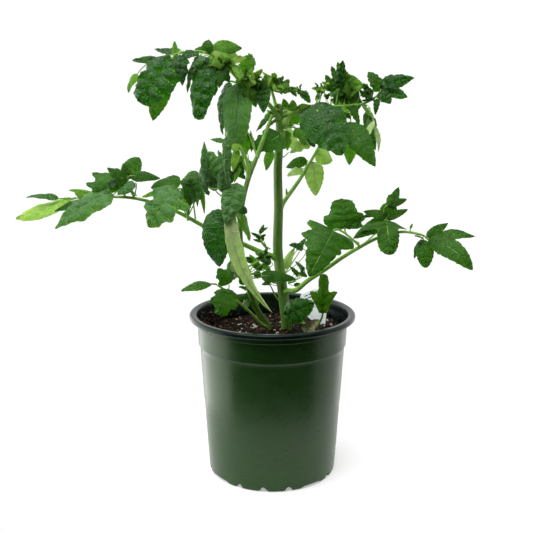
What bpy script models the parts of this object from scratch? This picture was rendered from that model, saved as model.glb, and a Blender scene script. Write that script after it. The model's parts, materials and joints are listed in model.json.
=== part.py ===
"""Young tomato plant in a round nursery pot.

Every leaf stalk and every leaflet is a closed solid of its own, grown from the main stem outward.
The frame's origin is the centre of the pot's flat underside, +Z is up and -Y is the front.
"""
import math

import bmesh
import bpy
from mathutils import Vector

# ---------------------------------------------------------------- driving dimensions (metres)
POT_HEIGHT = 0.1627
POT_BASE_RADIUS = 0.064
POT_RIM_RADIUS = 0.0825
POT_WALL = 0.0014
POT_FLOOR = 0.0018
POT_SEGMENTS = 48
SCALLOP_WIDTH = 0.026
SCALLOP_HEIGHT = 0.0026
DRAIN_WIDTH = 0.007
DRAIN_HEIGHT = 0.0045
DRAIN_REACH = 0.009

SOIL_LEVEL = 0.1435
SOIL_BUMP = 0.0011
SOIL_RINGS = 7
SOIL_SEGMENTS = 30

GAP = 0.0003
STEM_CLEARANCE = 0.0010
LEAF_THICKNESS = 0.0012
NECK_HALF_WIDTH = 0.0008

TAG_WIDTH = 0.022
TAG_HEIGHT = 0.034
TAG_THICKNESS = 0.0008


# ---------------------------------------------------------------- materials
FINISHES = {
    "pot_green": ((0.016, 0.052, 0.020), 0.38),
    "soil_brown": ((0.060, 0.034, 0.020), 0.95),
    "tag_white": ((0.80, 0.82, 0.84), 0.45),
    "dry_leaf": ((0.42, 0.44, 0.24), 0.80),
    "stem_green": ((0.120, 0.250, 0.060), 0.50),
    "leaf_dark": ((0.020, 0.095, 0.018), 0.48),
    "leaf_mid": ((0.045, 0.165, 0.026), 0.50),
    "leaf_pale": ((0.250, 0.420, 0.130), 0.55),
}


def make_material(name):
    """One Principled material for a finish."""
    colour, roughness = FINISHES[name]
    material = bpy.data.materials.new(name)
    material.use_nodes = True
    shader = material.node_tree.nodes["Principled BSDF"]
    shader.inputs["Base Color"].default_value = (*colour, 1.0)
    shader.inputs["Roughness"].default_value = roughness
    shader.inputs["Metallic"].default_value = 0.0
    return material


def finish(name):
    """The finish's material, made at its first use."""
    return bpy.data.materials.get(name) or make_material(name)


# ---------------------------------------------------------------- building blocks
def add_object(name, bm, finish_name):
    """Link a bmesh to the scene as one named object under the plant's empty."""
    bmesh.ops.recalc_face_normals(bm, faces=bm.faces)
    mesh = bpy.data.meshes.new(name)
    bm.to_mesh(mesh)
    bm.free()
    mesh.materials.append(finish(finish_name))
    mesh.shade_smooth()
    mesh.set_sharp_from_angle(angle=math.radians(40))
    piece = bpy.data.objects.new(name, mesh)
    bpy.context.collection.objects.link(piece)
    piece.parent = plant
    return piece


def add_cutter(name, bm):
    """A hidden wire object for a Boolean to cut with."""
    cutter = add_object(name, bm, "pot_green")
    cutter.hide_render = True
    cutter.display_type = "WIRE"
    return cutter


def smooth_path(points, steps):
    """Catmull-Rom curve through points, with steps spans between each pair."""
    guide = [2 * points[0] - points[1], *points, 2 * points[-1] - points[-2]]
    path = []
    for k in range(1, len(guide) - 2):
        before, start, end, after = guide[k - 1:k + 3]
        for j in range(steps):
            t = j / steps
            path.append(0.5 * (2 * start + (end - before) * t
                               + (2 * before - 5 * start + 4 * end - after) * t ** 2
                               + (3 * start - before - 3 * end + after) * t ** 3))
    path.append(points[-1].copy())
    return path


def bridge_rings(bm, rings):
    """Quads between neighbouring closed rings of vertices."""
    for low, high in zip(rings, rings[1:]):
        count = len(low)
        for i in range(count):
            j = (i + 1) % count
            bm.faces.new((low[i], low[j], high[j], high[i]))


class Stalk:
    """A round tapered stalk or stem: a centreline, a radius at each end and a facet count."""

    def __init__(self, name, points, radii, sides=6, steps=2, first_normal=None, colour="stem_green"):
        self.name = name
        self.path = smooth_path([Vector(p) for p in points], steps)
        self.radii = radii
        self.sides = sides
        self.first_normal = first_normal
        self.colour = colour
        spans = [(b - a).length for a, b in zip(self.path, self.path[1:])]
        self.distances = [sum(spans[:k]) for k in range(len(self.path))]

    def radius(self, at):
        return self.radii[0] + (self.radii[1] - self.radii[0]) * at

    def point(self, at):
        """Centre and direction at a fraction of the length."""
        target = at * self.distances[-1]
        for k in range(len(self.path) - 1):
            if target <= self.distances[k + 1] or k == len(self.path) - 2:
                span = self.distances[k + 1] - self.distances[k]
                t = (target - self.distances[k]) / span
                heading = (self.path[k + 1] - self.path[k]).normalized()
                return self.path[k].lerp(self.path[k + 1], t), heading

    def heading(self, k):
        """Direction of the centreline at one of its points."""
        if k == 0 and self.first_normal is not None:
            return self.first_normal
        before = self.path[max(k - 1, 0)]
        after = self.path[min(k + 1, len(self.path) - 1)]
        return (after - before).normalized()

    def build(self):
        bm = bmesh.new()
        heading = self.heading(0)
        side = heading.orthogonal().normalized()
        rings = []
        for k, centre in enumerate(self.path):
            turn = heading.rotation_difference(self.heading(k))
            side = turn @ side
            heading = self.heading(k)
            up = heading.cross(side)
            radius = self.radius(self.distances[k] / self.distances[-1])
            ring = []
            for i in range(self.sides):
                angle = 2 * math.pi * i / self.sides
                ring.append(bm.verts.new(centre + radius * (math.cos(angle) * side + math.sin(angle) * up)))
            rings.append(ring)
        bridge_rings(bm, rings)
        bm.faces.new(list(reversed(rings[0])))
        bm.faces.new(rings[-1])
        add_object(self.name, bm, self.colour)
        return self


def branch(name, parent, at, points, radii, sides=6):
    """A stalk that leaves its parent square to the bark, then follows the given points."""
    centre, heading = parent.point(at)
    outward = Vector(points[0]) - centre
    outward = (outward - outward.dot(heading) * heading).normalized()
    start = centre + outward * (parent.radius(at) + STEM_CLEARANCE)
    return Stalk(name, [start, *points], radii, sides=sides, first_normal=outward).build()


# Half widths along the blade, as fractions of the half width, from where the blade begins.
OUTLINES = {
    "lobed": ((0.00, 0.30), (0.10, 0.86), (0.24, 1.00), (0.36, 0.66), (0.52, 0.78), (0.66, 0.46), (0.84, 0.28)),
    "ovate": ((0.00, 0.28), (0.14, 0.80), (0.32, 1.00), (0.52, 0.86), (0.72, 0.58), (0.88, 0.28)),
    "slim": ((0.00, 0.26), (0.20, 0.90), (0.45, 1.00), (0.70, 0.62), (0.88, 0.30)),
}
COLUMNS = (-1.0, -0.5, 0.0, 0.5, 1.0)


def leaf_blade(name, root, tip, width, faces, outline="lobed", neck=0.15, arch=0.0, sway=0.0, fold=0.15,
               colour="leaf_mid"):
    """A leaflet from root to tip: its own short stalk, then a thin blade that is widest near the stalk.

    arch lifts the middle off the straight line, sway moves it sideways and fold raises the sides
    above the midrib, each as a fraction of the length or of the half width.
    """
    span = Vector(tip) - Vector(root)
    length = span.length
    along = span.normalized()
    normal = Vector(faces)
    normal = (normal - normal.dot(along) * along).normalized()
    bow = normal.cross(along) * (sway * length) + normal * (arch * length)
    stations = [(0.0, NECK_HALF_WIDTH), (neck * 0.6, NECK_HALF_WIDTH)]
    for share, half_width in OUTLINES[outline]:
        stations.append((neck + (1 - neck) * share, half_width * width / 2))

    bm = bmesh.new()
    rings = []
    for u, half_width in stations:
        middle = Vector(root) + span * u + bow * (4 * u * (1 - u))
        heading = (span + bow * (4 - 8 * u)).normalized()
        across = normal.cross(heading).normalized()
        up = heading.cross(across)
        flat = min(1.0, (half_width - NECK_HALF_WIDTH) / NECK_HALF_WIDTH)
        upper = []
        lower = []
        for s in COLUMNS:
            thickness = LEAF_THICKNESS / 2 * (1 - s * s)
            centre = middle + across * (s * half_width) + up * (fold * flat * abs(s) * half_width)
            upper.append(bm.verts.new(centre + up * thickness))
            if abs(s) < 1:
                lower.append(bm.verts.new(centre - up * thickness))
        rings.append(upper + list(reversed(lower)))
    bridge_rings(bm, rings)
    bm.faces.new(list(reversed(rings[0])))
    point = bm.verts.new(Vector(tip))
    last = rings[-1]
    for i in range(len(last)):
        bm.faces.new((last[i], last[(i + 1) % len(last)], point))
    return add_object(name, bm, colour)


def leaflet(name, stalk, at, tip, width, faces, **shape):
    """A leaflet that starts just clear of its stalk, at a fraction of the stalk's length."""
    centre, heading = stalk.point(at)
    along = (Vector(tip) - centre).normalized()
    slant = along.cross(heading).length
    if at >= 1.0:
        root = centre + heading * (2 * GAP + NECK_HALF_WIDTH * slant)
    else:
        root = centre + along * ((stalk.radius(at) + NECK_HALF_WIDTH + GAP) / max(0.45, slant) + GAP)
    leaf_blade(name, root, tip, width, faces, **shape)


# ---------------------------------------------------------------- pot
def wall_radius(z):
    """Outer radius of the tapered wall below the first step."""
    return POT_BASE_RADIUS + (0.0720 - POT_BASE_RADIUS) * min(1.0, (z / 0.126) ** 0.92)


def pot_profile():
    """Closed half section of the pot, up the outside and down the inside, as (radius, height)."""
    outside = [(0.0, 0.0), (POT_BASE_RADIUS - 0.0014, 0.0), (POT_BASE_RADIUS, 0.0014)]
    outside += [(wall_radius(z), z) for z in (0.032, 0.064, 0.096, 0.126)]
    outside += [(0.0722, 0.1315), (0.0736, 0.1325), (0.0744, 0.1514), (0.0756, 0.1524), (0.0760, 0.1572)]
    lip_middle = POT_HEIGHT - 0.0026
    outside += [(POT_RIM_RADIUS - 0.0008, 0.1574), (POT_RIM_RADIUS, lip_middle - 0.0012)]
    outside += [(POT_RIM_RADIUS - 0.0001, lip_middle + 0.0008), (POT_RIM_RADIUS - 0.0014, POT_HEIGHT - 0.0003)]
    top = [(POT_RIM_RADIUS - 0.0032, POT_HEIGHT), (POT_RIM_RADIUS - 0.0058, POT_HEIGHT - 0.0007)]
    top += [(0.0752, 0.1590)]
    inside = [(0.0742, 0.1524), (0.0730, 0.1500), (0.0722, 0.1325), (0.0708, 0.1300)]
    inside += [(wall_radius(z) - POT_WALL, z) for z in (0.126, 0.096, 0.064, 0.032)]
    inside += [(POT_BASE_RADIUS - POT_WALL, POT_FLOOR + 0.0012)]
    inside += [(POT_BASE_RADIUS - POT_WALL - 0.0012, POT_FLOOR), (0.0, POT_FLOOR)]
    return outside + top + inside


def turned_solid(profile, segments):
    """Spin a closed half section once around Z; its first and last points lie on the axis."""
    bm = bmesh.new()
    start = [bm.verts.new((r, 0.0, z)) for r, z in profile]
    edges = [bm.edges.new(pair) for pair in zip(start, start[1:])]
    bmesh.ops.spin(bm, geom=start + edges, cent=(0, 0, 0), axis=(0, 0, 1), angle=2 * math.pi,
                   steps=segments, use_merge=True, use_duplicate=False)
    bmesh.ops.remove_doubles(bm, verts=bm.verts, dist=0.00005)
    return bm


def edge_notch(angle, width, height, reach):
    """A block with an arched top, set across the pot's bottom edge at an angle from the front."""
    bm = bmesh.new()
    outline = [(-width / 2, -0.002)]
    for k in range(5):
        turn = math.pi * (1 - k / 4)
        outline.append((width / 2 * math.cos(turn), height * math.sin(turn) ** 0.7))
    outline.append((width / 2, -0.002))
    heading = Vector((math.sin(angle), -math.cos(angle), 0))
    side = Vector((math.cos(angle), math.sin(angle), 0))
    ends = []
    for radius in (POT_BASE_RADIUS - reach, POT_BASE_RADIUS + 0.006):
        ends.append([bm.verts.new(heading * radius + side * x + Vector((0, 0, z))) for x, z in outline])
    bridge_rings(bm, ends)
    bm.faces.new(list(reversed(ends[0])))
    bm.faces.new(ends[1])
    return bm


def make_pot():
    pot = add_object("pot", turned_solid(pot_profile(), POT_SEGMENTS), "pot_green")
    cuts = []
    for quarter in range(4):
        turn = math.radians(37 + 90 * quarter)
        cuts.append((turn, SCALLOP_WIDTH, SCALLOP_HEIGHT, 0.0035))
        for offset in (22.5, 45.0, 67.5):
            cuts.append((turn + math.radians(offset), DRAIN_WIDTH, DRAIN_HEIGHT, DRAIN_REACH))
    for number, (turn, width, height, reach) in enumerate(cuts, 1):
        cutter = add_cutter(f"drain_cutter_{number:02d}", edge_notch(turn, width, height, reach))
        cut = pot.modifiers.new(f"drain_{number:02d}", "BOOLEAN")
        cut.object = cutter
        cut.operation = "DIFFERENCE"
        cut.solver = "EXACT"


# ---------------------------------------------------------------- soil
def soil_height(x, y):
    """Uneven top of the potting mix."""
    wave = math.sin(95 * x + 1.2) * math.cos(80 * y - 0.6) + 0.6 * math.sin(170 * x - 140 * y)
    return SOIL_LEVEL + SOIL_BUMP * wave


def make_soil():
    bm = bmesh.new()
    top_radius = 0.0722 - GAP - 0.0005
    floor = POT_FLOOR + GAP
    levels = [(POT_BASE_RADIUS - POT_WALL - 0.0016 - GAP, floor)]
    levels += [(POT_BASE_RADIUS - POT_WALL - GAP, floor + 0.0014)]
    levels += [(wall_radius(z) - POT_WALL - GAP, z) for z in (0.032, 0.064, 0.096, 0.1255)]
    levels += [(0.0708 - GAP - 0.0004, 0.1305), (top_radius, 0.1335)]
    rings = []
    for radius, z in levels:
        rings.append([bm.verts.new((radius * math.cos(a), radius * math.sin(a), z)) for a in ring_angles()])
    for k in range(SOIL_RINGS, 0, -1):
        radius = top_radius * k / SOIL_RINGS
        ring = []
        for a in ring_angles():
            x, y = radius * math.cos(a), radius * math.sin(a)
            ring.append(bm.verts.new((x, y, soil_height(x, y))))
        rings.append(ring)
    bridge_rings(bm, rings)
    bm.faces.new(list(reversed(rings[0])))
    middle = bm.verts.new((0, 0, soil_height(0, 0)))
    for i in range(SOIL_SEGMENTS):
        bm.faces.new((rings[-1][i], rings[-1][(i + 1) % SOIL_SEGMENTS], middle))
    add_object("soil", bm, "soil_brown")


def ring_angles():
    return [2 * math.pi * i / SOIL_SEGMENTS for i in range(SOIL_SEGMENTS)]


# ---------------------------------------------------------------- plant tag
def make_tag():
    """White plastic tag with a rounded head and a pointed foot, leaning back and to the left in the soil."""
    bm = bmesh.new()
    half = TAG_WIDTH / 2
    corner = 0.005
    outline = [(-0.002, 0.0), (0.002, 0.0), (half, 0.010)]
    for side, centre in ((0, half - corner), (90, corner - half)):
        for step in (0, 30, 60, 90):
            turn = math.radians(side + step)
            outline.append((centre + corner * math.cos(turn), TAG_HEIGHT - corner + corner * math.sin(turn)))
    outline.append((-half, 0.010))
    front = [bm.verts.new((x, -TAG_THICKNESS / 2, z)) for x, z in outline]
    face = bm.faces.new(front)
    extruded = bmesh.ops.extrude_face_region(bm, geom=[face])
    back = [item for item in extruded["geom"] if isinstance(item, bmesh.types.BMVert)]
    bmesh.ops.translate(bm, verts=back, vec=(0, TAG_THICKNESS, 0))
    tag = add_object("plant_tag", bm, "tag_white")
    tag.location = (0.050, 0.020, SOIL_LEVEL + 0.0028)
    tag.rotation_euler = (math.radians(-14), math.radians(-20), math.radians(12))


# ---------------------------------------------------------------- stems and stalks
def make_stems():
    """The two stems that rise from the soil, and the long stalks that carry the leaflets."""
    stems = {}

    def stem(name, points, radii, sides):
        x, y = points[0][:2]
        ground = max(soil_height(x + dx, y + dy) for dx in (-0.006, 0, 0.006) for dy in (-0.006, 0, 0.006))
        foot = ground + 2 * GAP
        path = [(x, y, foot), *points]
        stems[name] = Stalk(name, path, radii, sides=sides, first_normal=Vector((0, 0, 1))).build()

    def stalk(name, parent, at, points, radii):
        stems[name] = branch(name, stems[parent], at, points, radii)

    stem("main_stem", [(0.014, -0.002, 0.155), (0.012, -0.002, 0.170), (0.009, -0.001, 0.193),
                       (0.005, 0.000, 0.225), (0.006, 0.000, 0.265), (0.005, 0.000, 0.304),
                       (0.007, 0.002, 0.337), (0.006, 0.003, 0.366)], (0.0055, 0.0036), 10)
    stem("side_stem", [(-0.004, -0.008, 0.151), (-0.013, -0.020, 0.166), (-0.020, -0.032, 0.186),
                       (-0.026, -0.048, 0.216), (-0.030, -0.058, 0.248), (-0.028, -0.056, 0.277),
                       (-0.022, -0.048, 0.301), (-0.014, -0.038, 0.320)], (0.0038, 0.0024), 8)
    stalk("growing_tip", "main_stem", 0.985, [(0.001, 0.009, 0.372), (-0.002, 0.008, 0.382),
                                              (-0.002, 0.005, 0.392)], (0.0018, 0.0009))
    stalk("low_left_stalk", "main_stem", 0.37,
          [(-0.008, -0.007, 0.227), (-0.029, -0.012, 0.235), (-0.060, -0.020, 0.249), (-0.083, -0.024, 0.263),
           (-0.100, -0.025, 0.271), (-0.121, -0.026, 0.278), (-0.140, -0.027, 0.281), (-0.161, -0.030, 0.281),
           (-0.182, -0.036, 0.281)], (0.0026, 0.0010))
    stalk("low_right_stalk", "main_stem", 0.22,
          [(0.022, -0.013, 0.190), (0.031, -0.018, 0.198), (0.047, -0.026, 0.209), (0.066, -0.034, 0.225),
           (0.093, -0.042, 0.243), (0.110, -0.046, 0.250), (0.124, -0.050, 0.252), (0.138, -0.054, 0.249)],
          (0.0026, 0.0011))
    stalk("pot_left_stalk", "side_stem", 0.05,
          [(-0.012, -0.025, 0.158), (-0.022, -0.034, 0.172), (-0.033, -0.041, 0.184), (-0.043, -0.046, 0.195),
           (-0.052, -0.050, 0.202)], (0.0016, 0.0009))
    stalk("front_left_stalk", "side_stem", 0.60,
          [(-0.034, -0.066, 0.262), (-0.038, -0.069, 0.274), (-0.042, -0.071, 0.286), (-0.045, -0.073, 0.295)],
          (0.0018, 0.0010))
    stalk("top_left_stalk", "main_stem", 0.955,
          [(-0.002, -0.008, 0.364), (-0.012, -0.014, 0.373), (-0.024, -0.020, 0.382), (-0.035, -0.026, 0.392),
           (-0.046, -0.034, 0.405), (-0.059, -0.040, 0.411), (-0.073, -0.044, 0.412), (-0.084, -0.046, 0.410)],
          (0.0024, 0.0010))
    stalk("top_right_stalk", "main_stem", 0.91,
          [(0.014, 0.006, 0.357), (0.029, 0.008, 0.361), (0.055, 0.012, 0.363), (0.085, 0.014, 0.365),
           (0.099, 0.014, 0.372), (0.107, 0.014, 0.379)], (0.0022, 0.0010))
    stalk("right_stalk", "main_stem", 0.56,
          [(0.013, 0.010, 0.274), (0.027, 0.020, 0.292), (0.039, 0.032, 0.310), (0.048, 0.042, 0.325),
           (0.056, 0.050, 0.338)], (0.0023, 0.0010))
    stalk("base_right_stalk", "main_stem", 0.06,
          [(0.022, -0.009, 0.156), (0.031, -0.016, 0.155), (0.043, -0.022, 0.155)], (0.0013, 0.0009))
    return stems


# ---------------------------------------------------------------- leaflets
FRONT = (0, -1, 0.25)
UP_FRONT = (0, -0.6, 0.8)
LEFT_FRONT = (-0.6, -0.75, 0.25)
RIGHT_FRONT = (0.5, -0.8, 0.3)


def make_leaves(stems):
    """Every leaflet: its stalk, where it sits along it, where its tip is, its width and how it faces."""

    def on(stalk, at, name, tip, width, faces, **shape):
        leaflet(name, stems[stalk], at, tip, width, faces, **shape)

    on("low_left_stalk", 0.440, "low_left_leaflet_1", (-0.113, -0.056, 0.256), 0.044, (-0.1, -0.85, 0.5),
       arch=0.16, sway=-0.38, neck=0.20)
    on("low_left_stalk", 0.415, "low_left_leaflet_2", (-0.076, -0.036, 0.300), 0.027, (0, -0.9, 0.2),
       neck=0.40, outline="ovate")
    on("low_left_stalk", 0.720, "low_left_leaflet_3", (-0.124, -0.006, 0.317), 0.034, (0, -0.9, 0.3),
       neck=0.34)
    on("low_left_stalk", 0.760, "low_left_leaflet_4", (-0.174, 0.000, 0.301), 0.034, UP_FRONT, arch=0.12)
    on("low_left_stalk", 0.850, "low_left_leaflet_5", (-0.194, -0.066, 0.257), 0.028, (-0.2, -0.6, 0.8),
       arch=0.10, neck=0.22)
    on("low_left_stalk", 1.0, "low_left_leaflet_6", (-0.235, -0.048, 0.264), 0.026, (0, -0.45, 0.9),
       outline="slim", colour="leaf_pale", neck=0.08)

    on("low_right_stalk", 0.620, "low_right_leaflet_1", (0.031, -0.076, 0.217), 0.045, (-0.1, -0.85, 0.45),
       neck=0.34, sway=-0.26)
    on("low_right_stalk", 0.600, "low_right_leaflet_2", (0.064, -0.022, 0.279), 0.038, (0, -0.9, 0.35),
       neck=0.24)
    on("low_right_stalk", 0.770, "low_right_leaflet_3", (0.103, -0.080, 0.235), 0.044, (0, -0.75, 0.65),
       arch=0.22, neck=0.14)
    on("low_right_stalk", 0.800, "low_right_leaflet_4", (0.114, -0.030, 0.290), 0.040, (0, -0.85, 0.35),
       neck=0.22)
    on("low_right_stalk", 1.0, "low_right_leaflet_5", (0.173, -0.088, 0.224), 0.044, (0.1, -0.6, 0.8),
       arch=0.20, neck=0.08)
    on("low_right_stalk", 0.940, "low_right_leaflet_6", (0.133, -0.070, 0.221), 0.020, (-0.2, -0.8, 0.3))

    on("pot_left_stalk", 1.0, "pot_left_leaflet_1", (-0.084, -0.062, 0.199), 0.020, (0, -0.5, 0.85),
       arch=0.10, outline="ovate")
    on("pot_left_stalk", 0.74, "pot_left_leaflet_2", (-0.050, -0.066, 0.175), 0.027, FRONT, outline="ovate",
       neck=0.12)
    on("pot_left_stalk", 0.80, "pot_left_leaflet_3", (-0.050, -0.030, 0.216), 0.024, (-0.2, -0.8, 0.3),
       neck=0.20)

    on("front_left_stalk", 0.55, "front_left_leaflet_1", (-0.046, -0.096, 0.228), 0.030, LEFT_FRONT,
       outline="slim", colour="leaf_dark", arch=0.10, neck=0.10)
    on("front_left_stalk", 0.86, "front_left_leaflet_2", (-0.029, -0.090, 0.264), 0.021, FRONT,
       outline="ovate", arch=0.12, neck=0.10, colour="leaf_dark")
    on("side_stem", 0.70, "front_left_leaflet_3", (0.000, -0.076, 0.178), 0.020, (0.5, -0.8, 0.1),
       outline="slim", colour="leaf_pale", neck=0.08, sway=-0.14, arch=0.10)
    on("front_left_stalk", 1.0, "front_left_leaflet_4", (-0.056, -0.066, 0.326), 0.023, LEFT_FRONT,
       outline="ovate", colour="leaf_dark", arch=0.08)

    on("top_left_stalk", 0.255, "curtain_leaflet", (-0.039, -0.064, 0.332), 0.030, (-0.35, -0.9, 0.2),
       outline="ovate", neck=0.08, arch=0.10, sway=-0.16, colour="leaf_mid")
    on("top_left_stalk", 0.370, "curtain_leaflet_behind", (-0.052, -0.002, 0.338), 0.022, LEFT_FRONT,
       outline="ovate", neck=0.10, colour="leaf_dark", sway=-0.10)
    on("top_left_stalk", 1.0, "top_left_leaflet_1", (-0.117, -0.070, 0.368), 0.042, (-0.55, -0.65, 0.6),
       arch=0.16, neck=0.06, colour="leaf_dark")
    on("top_left_stalk", 0.925, "top_left_leaflet_2", (-0.110, -0.026, 0.352), 0.030, (-0.6, -0.7, 0.3),
       colour="leaf_pale", arch=0.10, neck=0.12)
    on("top_left_stalk", 0.940, "top_left_leaflet_3", (-0.108, -0.016, 0.415), 0.020, (0, -0.7, 0.7),
       outline="ovate", colour="leaf_dark")
    on("top_left_stalk", 0.740, "top_left_leaflet_4", (-0.066, -0.070, 0.354), 0.029, (-0.1, -0.9, 0.3),
       colour="leaf_dark", arch=0.12, sway=-0.05)

    on("top_left_stalk", 0.670, "crown_leaflet_1", (-0.029, -0.014, 0.419), 0.020, (0, -0.5, 0.85),
       outline="ovate", colour="leaf_dark", arch=0.18)
    on("top_left_stalk", 0.600, "crown_leaflet_2", (-0.035, -0.066, 0.388), 0.020, (0.5, -0.6, 0.6),
       outline="ovate", colour="leaf_mid", arch=0.10)
    on("top_left_stalk", 0.300, "crown_leaflet_3", (-0.014, 0.002, 0.404), 0.022, (0.2, -0.8, 0.5),
       outline="ovate", colour="leaf_mid")
    on("top_left_stalk", 0.170, "crown_leaflet_4", (-0.008, -0.036, 0.352), 0.015, (-0.1, -0.9, 0.4),
       outline="ovate", colour="leaf_dark", arch=0.08)
    on("main_stem", 0.865, "crown_leaflet_5", (-0.017, -0.040, 0.327), 0.027, (-0.1, -0.8, 0.6),
       outline="ovate", colour="leaf_dark", arch=0.08)
    on("main_stem", 0.900, "crown_leaflet_6", (0.028, 0.040, 0.325), 0.030, (0.2, -0.9, 0.3),
       colour="leaf_pale")

    on("right_stalk", 0.56, "right_leaflet_1", (0.046, 0.014, 0.276), 0.022, (0.2, -0.9, 0.3),
       outline="ovate", colour="leaf_pale", neck=0.12)
    on("right_stalk", 0.76, "right_leaflet_2", (0.066, 0.058, 0.302), 0.021, (0.2, -0.9, 0.3),
       outline="ovate", colour="leaf_pale", neck=0.12)
    on("right_stalk", 0.52, "right_leaflet_3", (0.012, 0.050, 0.300), 0.023, (-0.2, -0.8, 0.4),
       outline="ovate", colour="leaf_pale", neck=0.12)

    on("top_right_stalk", 0.30, "top_right_leaflet_1", (0.058, -0.052, 0.320), 0.047, (0.1, -0.75, 0.65),
       outline="ovate", colour="leaf_dark", arch=0.20, neck=0.08)
    on("top_right_stalk", 0.66, "top_right_leaflet_2", (0.095, -0.030, 0.309), 0.031, RIGHT_FRONT,
       colour="leaf_dark", arch=0.12, neck=0.08)
    on("top_right_stalk", 0.58, "top_right_leaflet_3", (0.074, 0.044, 0.393), 0.034, (0.0, -0.8, 0.6),
       outline="ovate", colour="leaf_dark", arch=0.06)
    on("top_right_stalk", 0.54, "top_right_leaflet_4", (0.066, 0.004, 0.406), 0.020, (0, -0.95, 0.2),
       neck=0.36, colour="leaf_mid")
    on("top_right_stalk", 0.80, "top_right_leaflet_5", (0.099, 0.002, 0.322), 0.018, RIGHT_FRONT,
       outline="slim", colour="leaf_mid")
    on("top_right_stalk", 1.0, "top_right_leaflet_6", (0.132, -0.006, 0.390), 0.024, (0, -0.6, 0.8),
       colour="leaf_dark", arch=0.10, neck=0.10)
    on("top_right_stalk", 0.95, "top_right_leaflet_7", (0.096, 0.042, 0.398), 0.026, (0, -0.6, 0.8),
       colour="leaf_mid")

    on("base_right_stalk", 1.0, "base_right_leaflet_1", (0.050, -0.032, 0.209), 0.027, (-0.1, -0.95, 0.1),
       neck=0.22, sway=-0.08)
    on("base_right_stalk", 0.24, "base_right_leaflet_2", (0.018, -0.044, 0.184), 0.026, (-0.1, -0.9, 0.3),
       neck=0.16, colour="leaf_dark")


def make_dry_leaf():
    """A shed leaf, dry and curled, that leans up from the soil in front of the tag."""
    leaf_blade("dry_leaf", (0.033, -0.026, SOIL_LEVEL + 0.0034), (0.045, -0.033, SOIL_LEVEL + 0.0200), 0.012,
               (-0.4, -0.8, 0.3), outline="slim", neck=0.10, arch=0.14, fold=0.55, colour="dry_leaf")


# ---------------------------------------------------------------- build
for old in list(bpy.data.objects):
    bpy.data.objects.remove(old, do_unlink=True)

plant = bpy.data.objects.new("potted_tomato", None)
bpy.context.collection.objects.link(plant)

make_pot()
make_soil()
make_tag()
make_leaves(make_stems())
make_dry_leaf()
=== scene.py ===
import itertools
import json
import math
import random

import bpy
import numpy as np
from mathutils import Matrix, Vector, noise

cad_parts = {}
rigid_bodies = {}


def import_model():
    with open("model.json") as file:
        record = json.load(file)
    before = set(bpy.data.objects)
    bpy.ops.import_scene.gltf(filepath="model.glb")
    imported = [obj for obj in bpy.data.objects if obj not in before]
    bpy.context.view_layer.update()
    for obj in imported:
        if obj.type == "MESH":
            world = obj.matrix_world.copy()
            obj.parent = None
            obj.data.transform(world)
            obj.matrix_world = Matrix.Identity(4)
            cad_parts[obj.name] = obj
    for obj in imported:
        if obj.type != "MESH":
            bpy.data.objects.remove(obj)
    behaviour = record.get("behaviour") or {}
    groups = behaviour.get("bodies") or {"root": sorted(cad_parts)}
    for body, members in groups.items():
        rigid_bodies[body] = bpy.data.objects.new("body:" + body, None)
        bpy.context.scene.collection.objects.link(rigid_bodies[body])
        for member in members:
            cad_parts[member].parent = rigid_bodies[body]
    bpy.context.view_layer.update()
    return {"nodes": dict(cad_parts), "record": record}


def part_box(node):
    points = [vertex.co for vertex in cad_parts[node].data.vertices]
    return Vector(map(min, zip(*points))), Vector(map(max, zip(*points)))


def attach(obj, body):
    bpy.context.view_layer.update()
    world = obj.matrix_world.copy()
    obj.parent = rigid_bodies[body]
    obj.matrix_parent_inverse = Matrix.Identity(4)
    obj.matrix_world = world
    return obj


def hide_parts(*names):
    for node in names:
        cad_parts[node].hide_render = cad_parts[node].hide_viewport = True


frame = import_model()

mm = 0.001
fullTurn = 6.28
print("frame loaded:", len(frame["nodes"]), "nodes")


def weldedPoints(node):
    # the corners of a CAD solid, each once, and which corners share an edge
    mesh = frame["nodes"][node].data
    places = []
    index = {}
    order = []
    for vertex in mesh.vertices:
        key = tuple(round(c * 1e5) for c in vertex.co)
        if key not in index:
            index[key] = len(places)
            places.append(tuple(vertex.co))
        order.append(index[key])
    near = [set() for _ in places]
    for edge in mesh.edges:
        a, b = (order[v] for v in edge.vertices)
        if a != b:
            near[a].add(b)
            near[b].add(a)
    return np.array(places), near


def ringsFrom(near, start):
    # walk from one end of a solid to the other, one ring of corners at a time
    seen = set(start)
    rings = [sorted(start)]
    while True:
        ahead = {n for i in rings[-1] for n in near[i]} - seen
        if not ahead:
            return rings
        seen |= ahead
        rings.append(sorted(ahead))


def unit(v):
    return v / np.maximum(np.linalg.norm(v, axis=-1, keepdims=True), 1e-12)


class Stalk:
    # centreline and thickness of a stem or stalk, read from its CAD solid

    def __init__(self, node, sides, parent=None):
        places, near = weldedPoints(node)
        if parent is None:
            away = places[:, 2]
        else:
            away = np.array([np.linalg.norm(parent.line - p, axis=1).min() for p in places])
        start = [int(i) for i in np.argsort(away)[:sides]]
        rings = ringsFrom(near, start)
        self.node = node
        self.parent = parent
        self.points = np.array([places[r].mean(0) for r in rings])
        self.radii = np.array([np.linalg.norm(places[r] - places[r].mean(0), axis=1).mean() for r in rings])
        steps = np.linalg.norm(np.diff(self.points, axis=0), axis=1)
        self.along = np.concatenate([[0], np.cumsum(steps)]) / steps.sum()
        self.length = steps.sum()
        self.line = self.at(np.linspace(0, 1, 160))

    def at(self, t):
        t = np.atleast_1d(t)
        return np.stack([np.interp(t, self.along, self.points[:, k]) for k in range(3)], axis=1)

    def radius(self, t):
        return np.interp(t, self.along, self.radii)

    def heading(self, t):
        return unit(self.at(min(t + 0.02, 1.0))[0] - self.at(max(t - 0.02, 0.0))[0])


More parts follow.
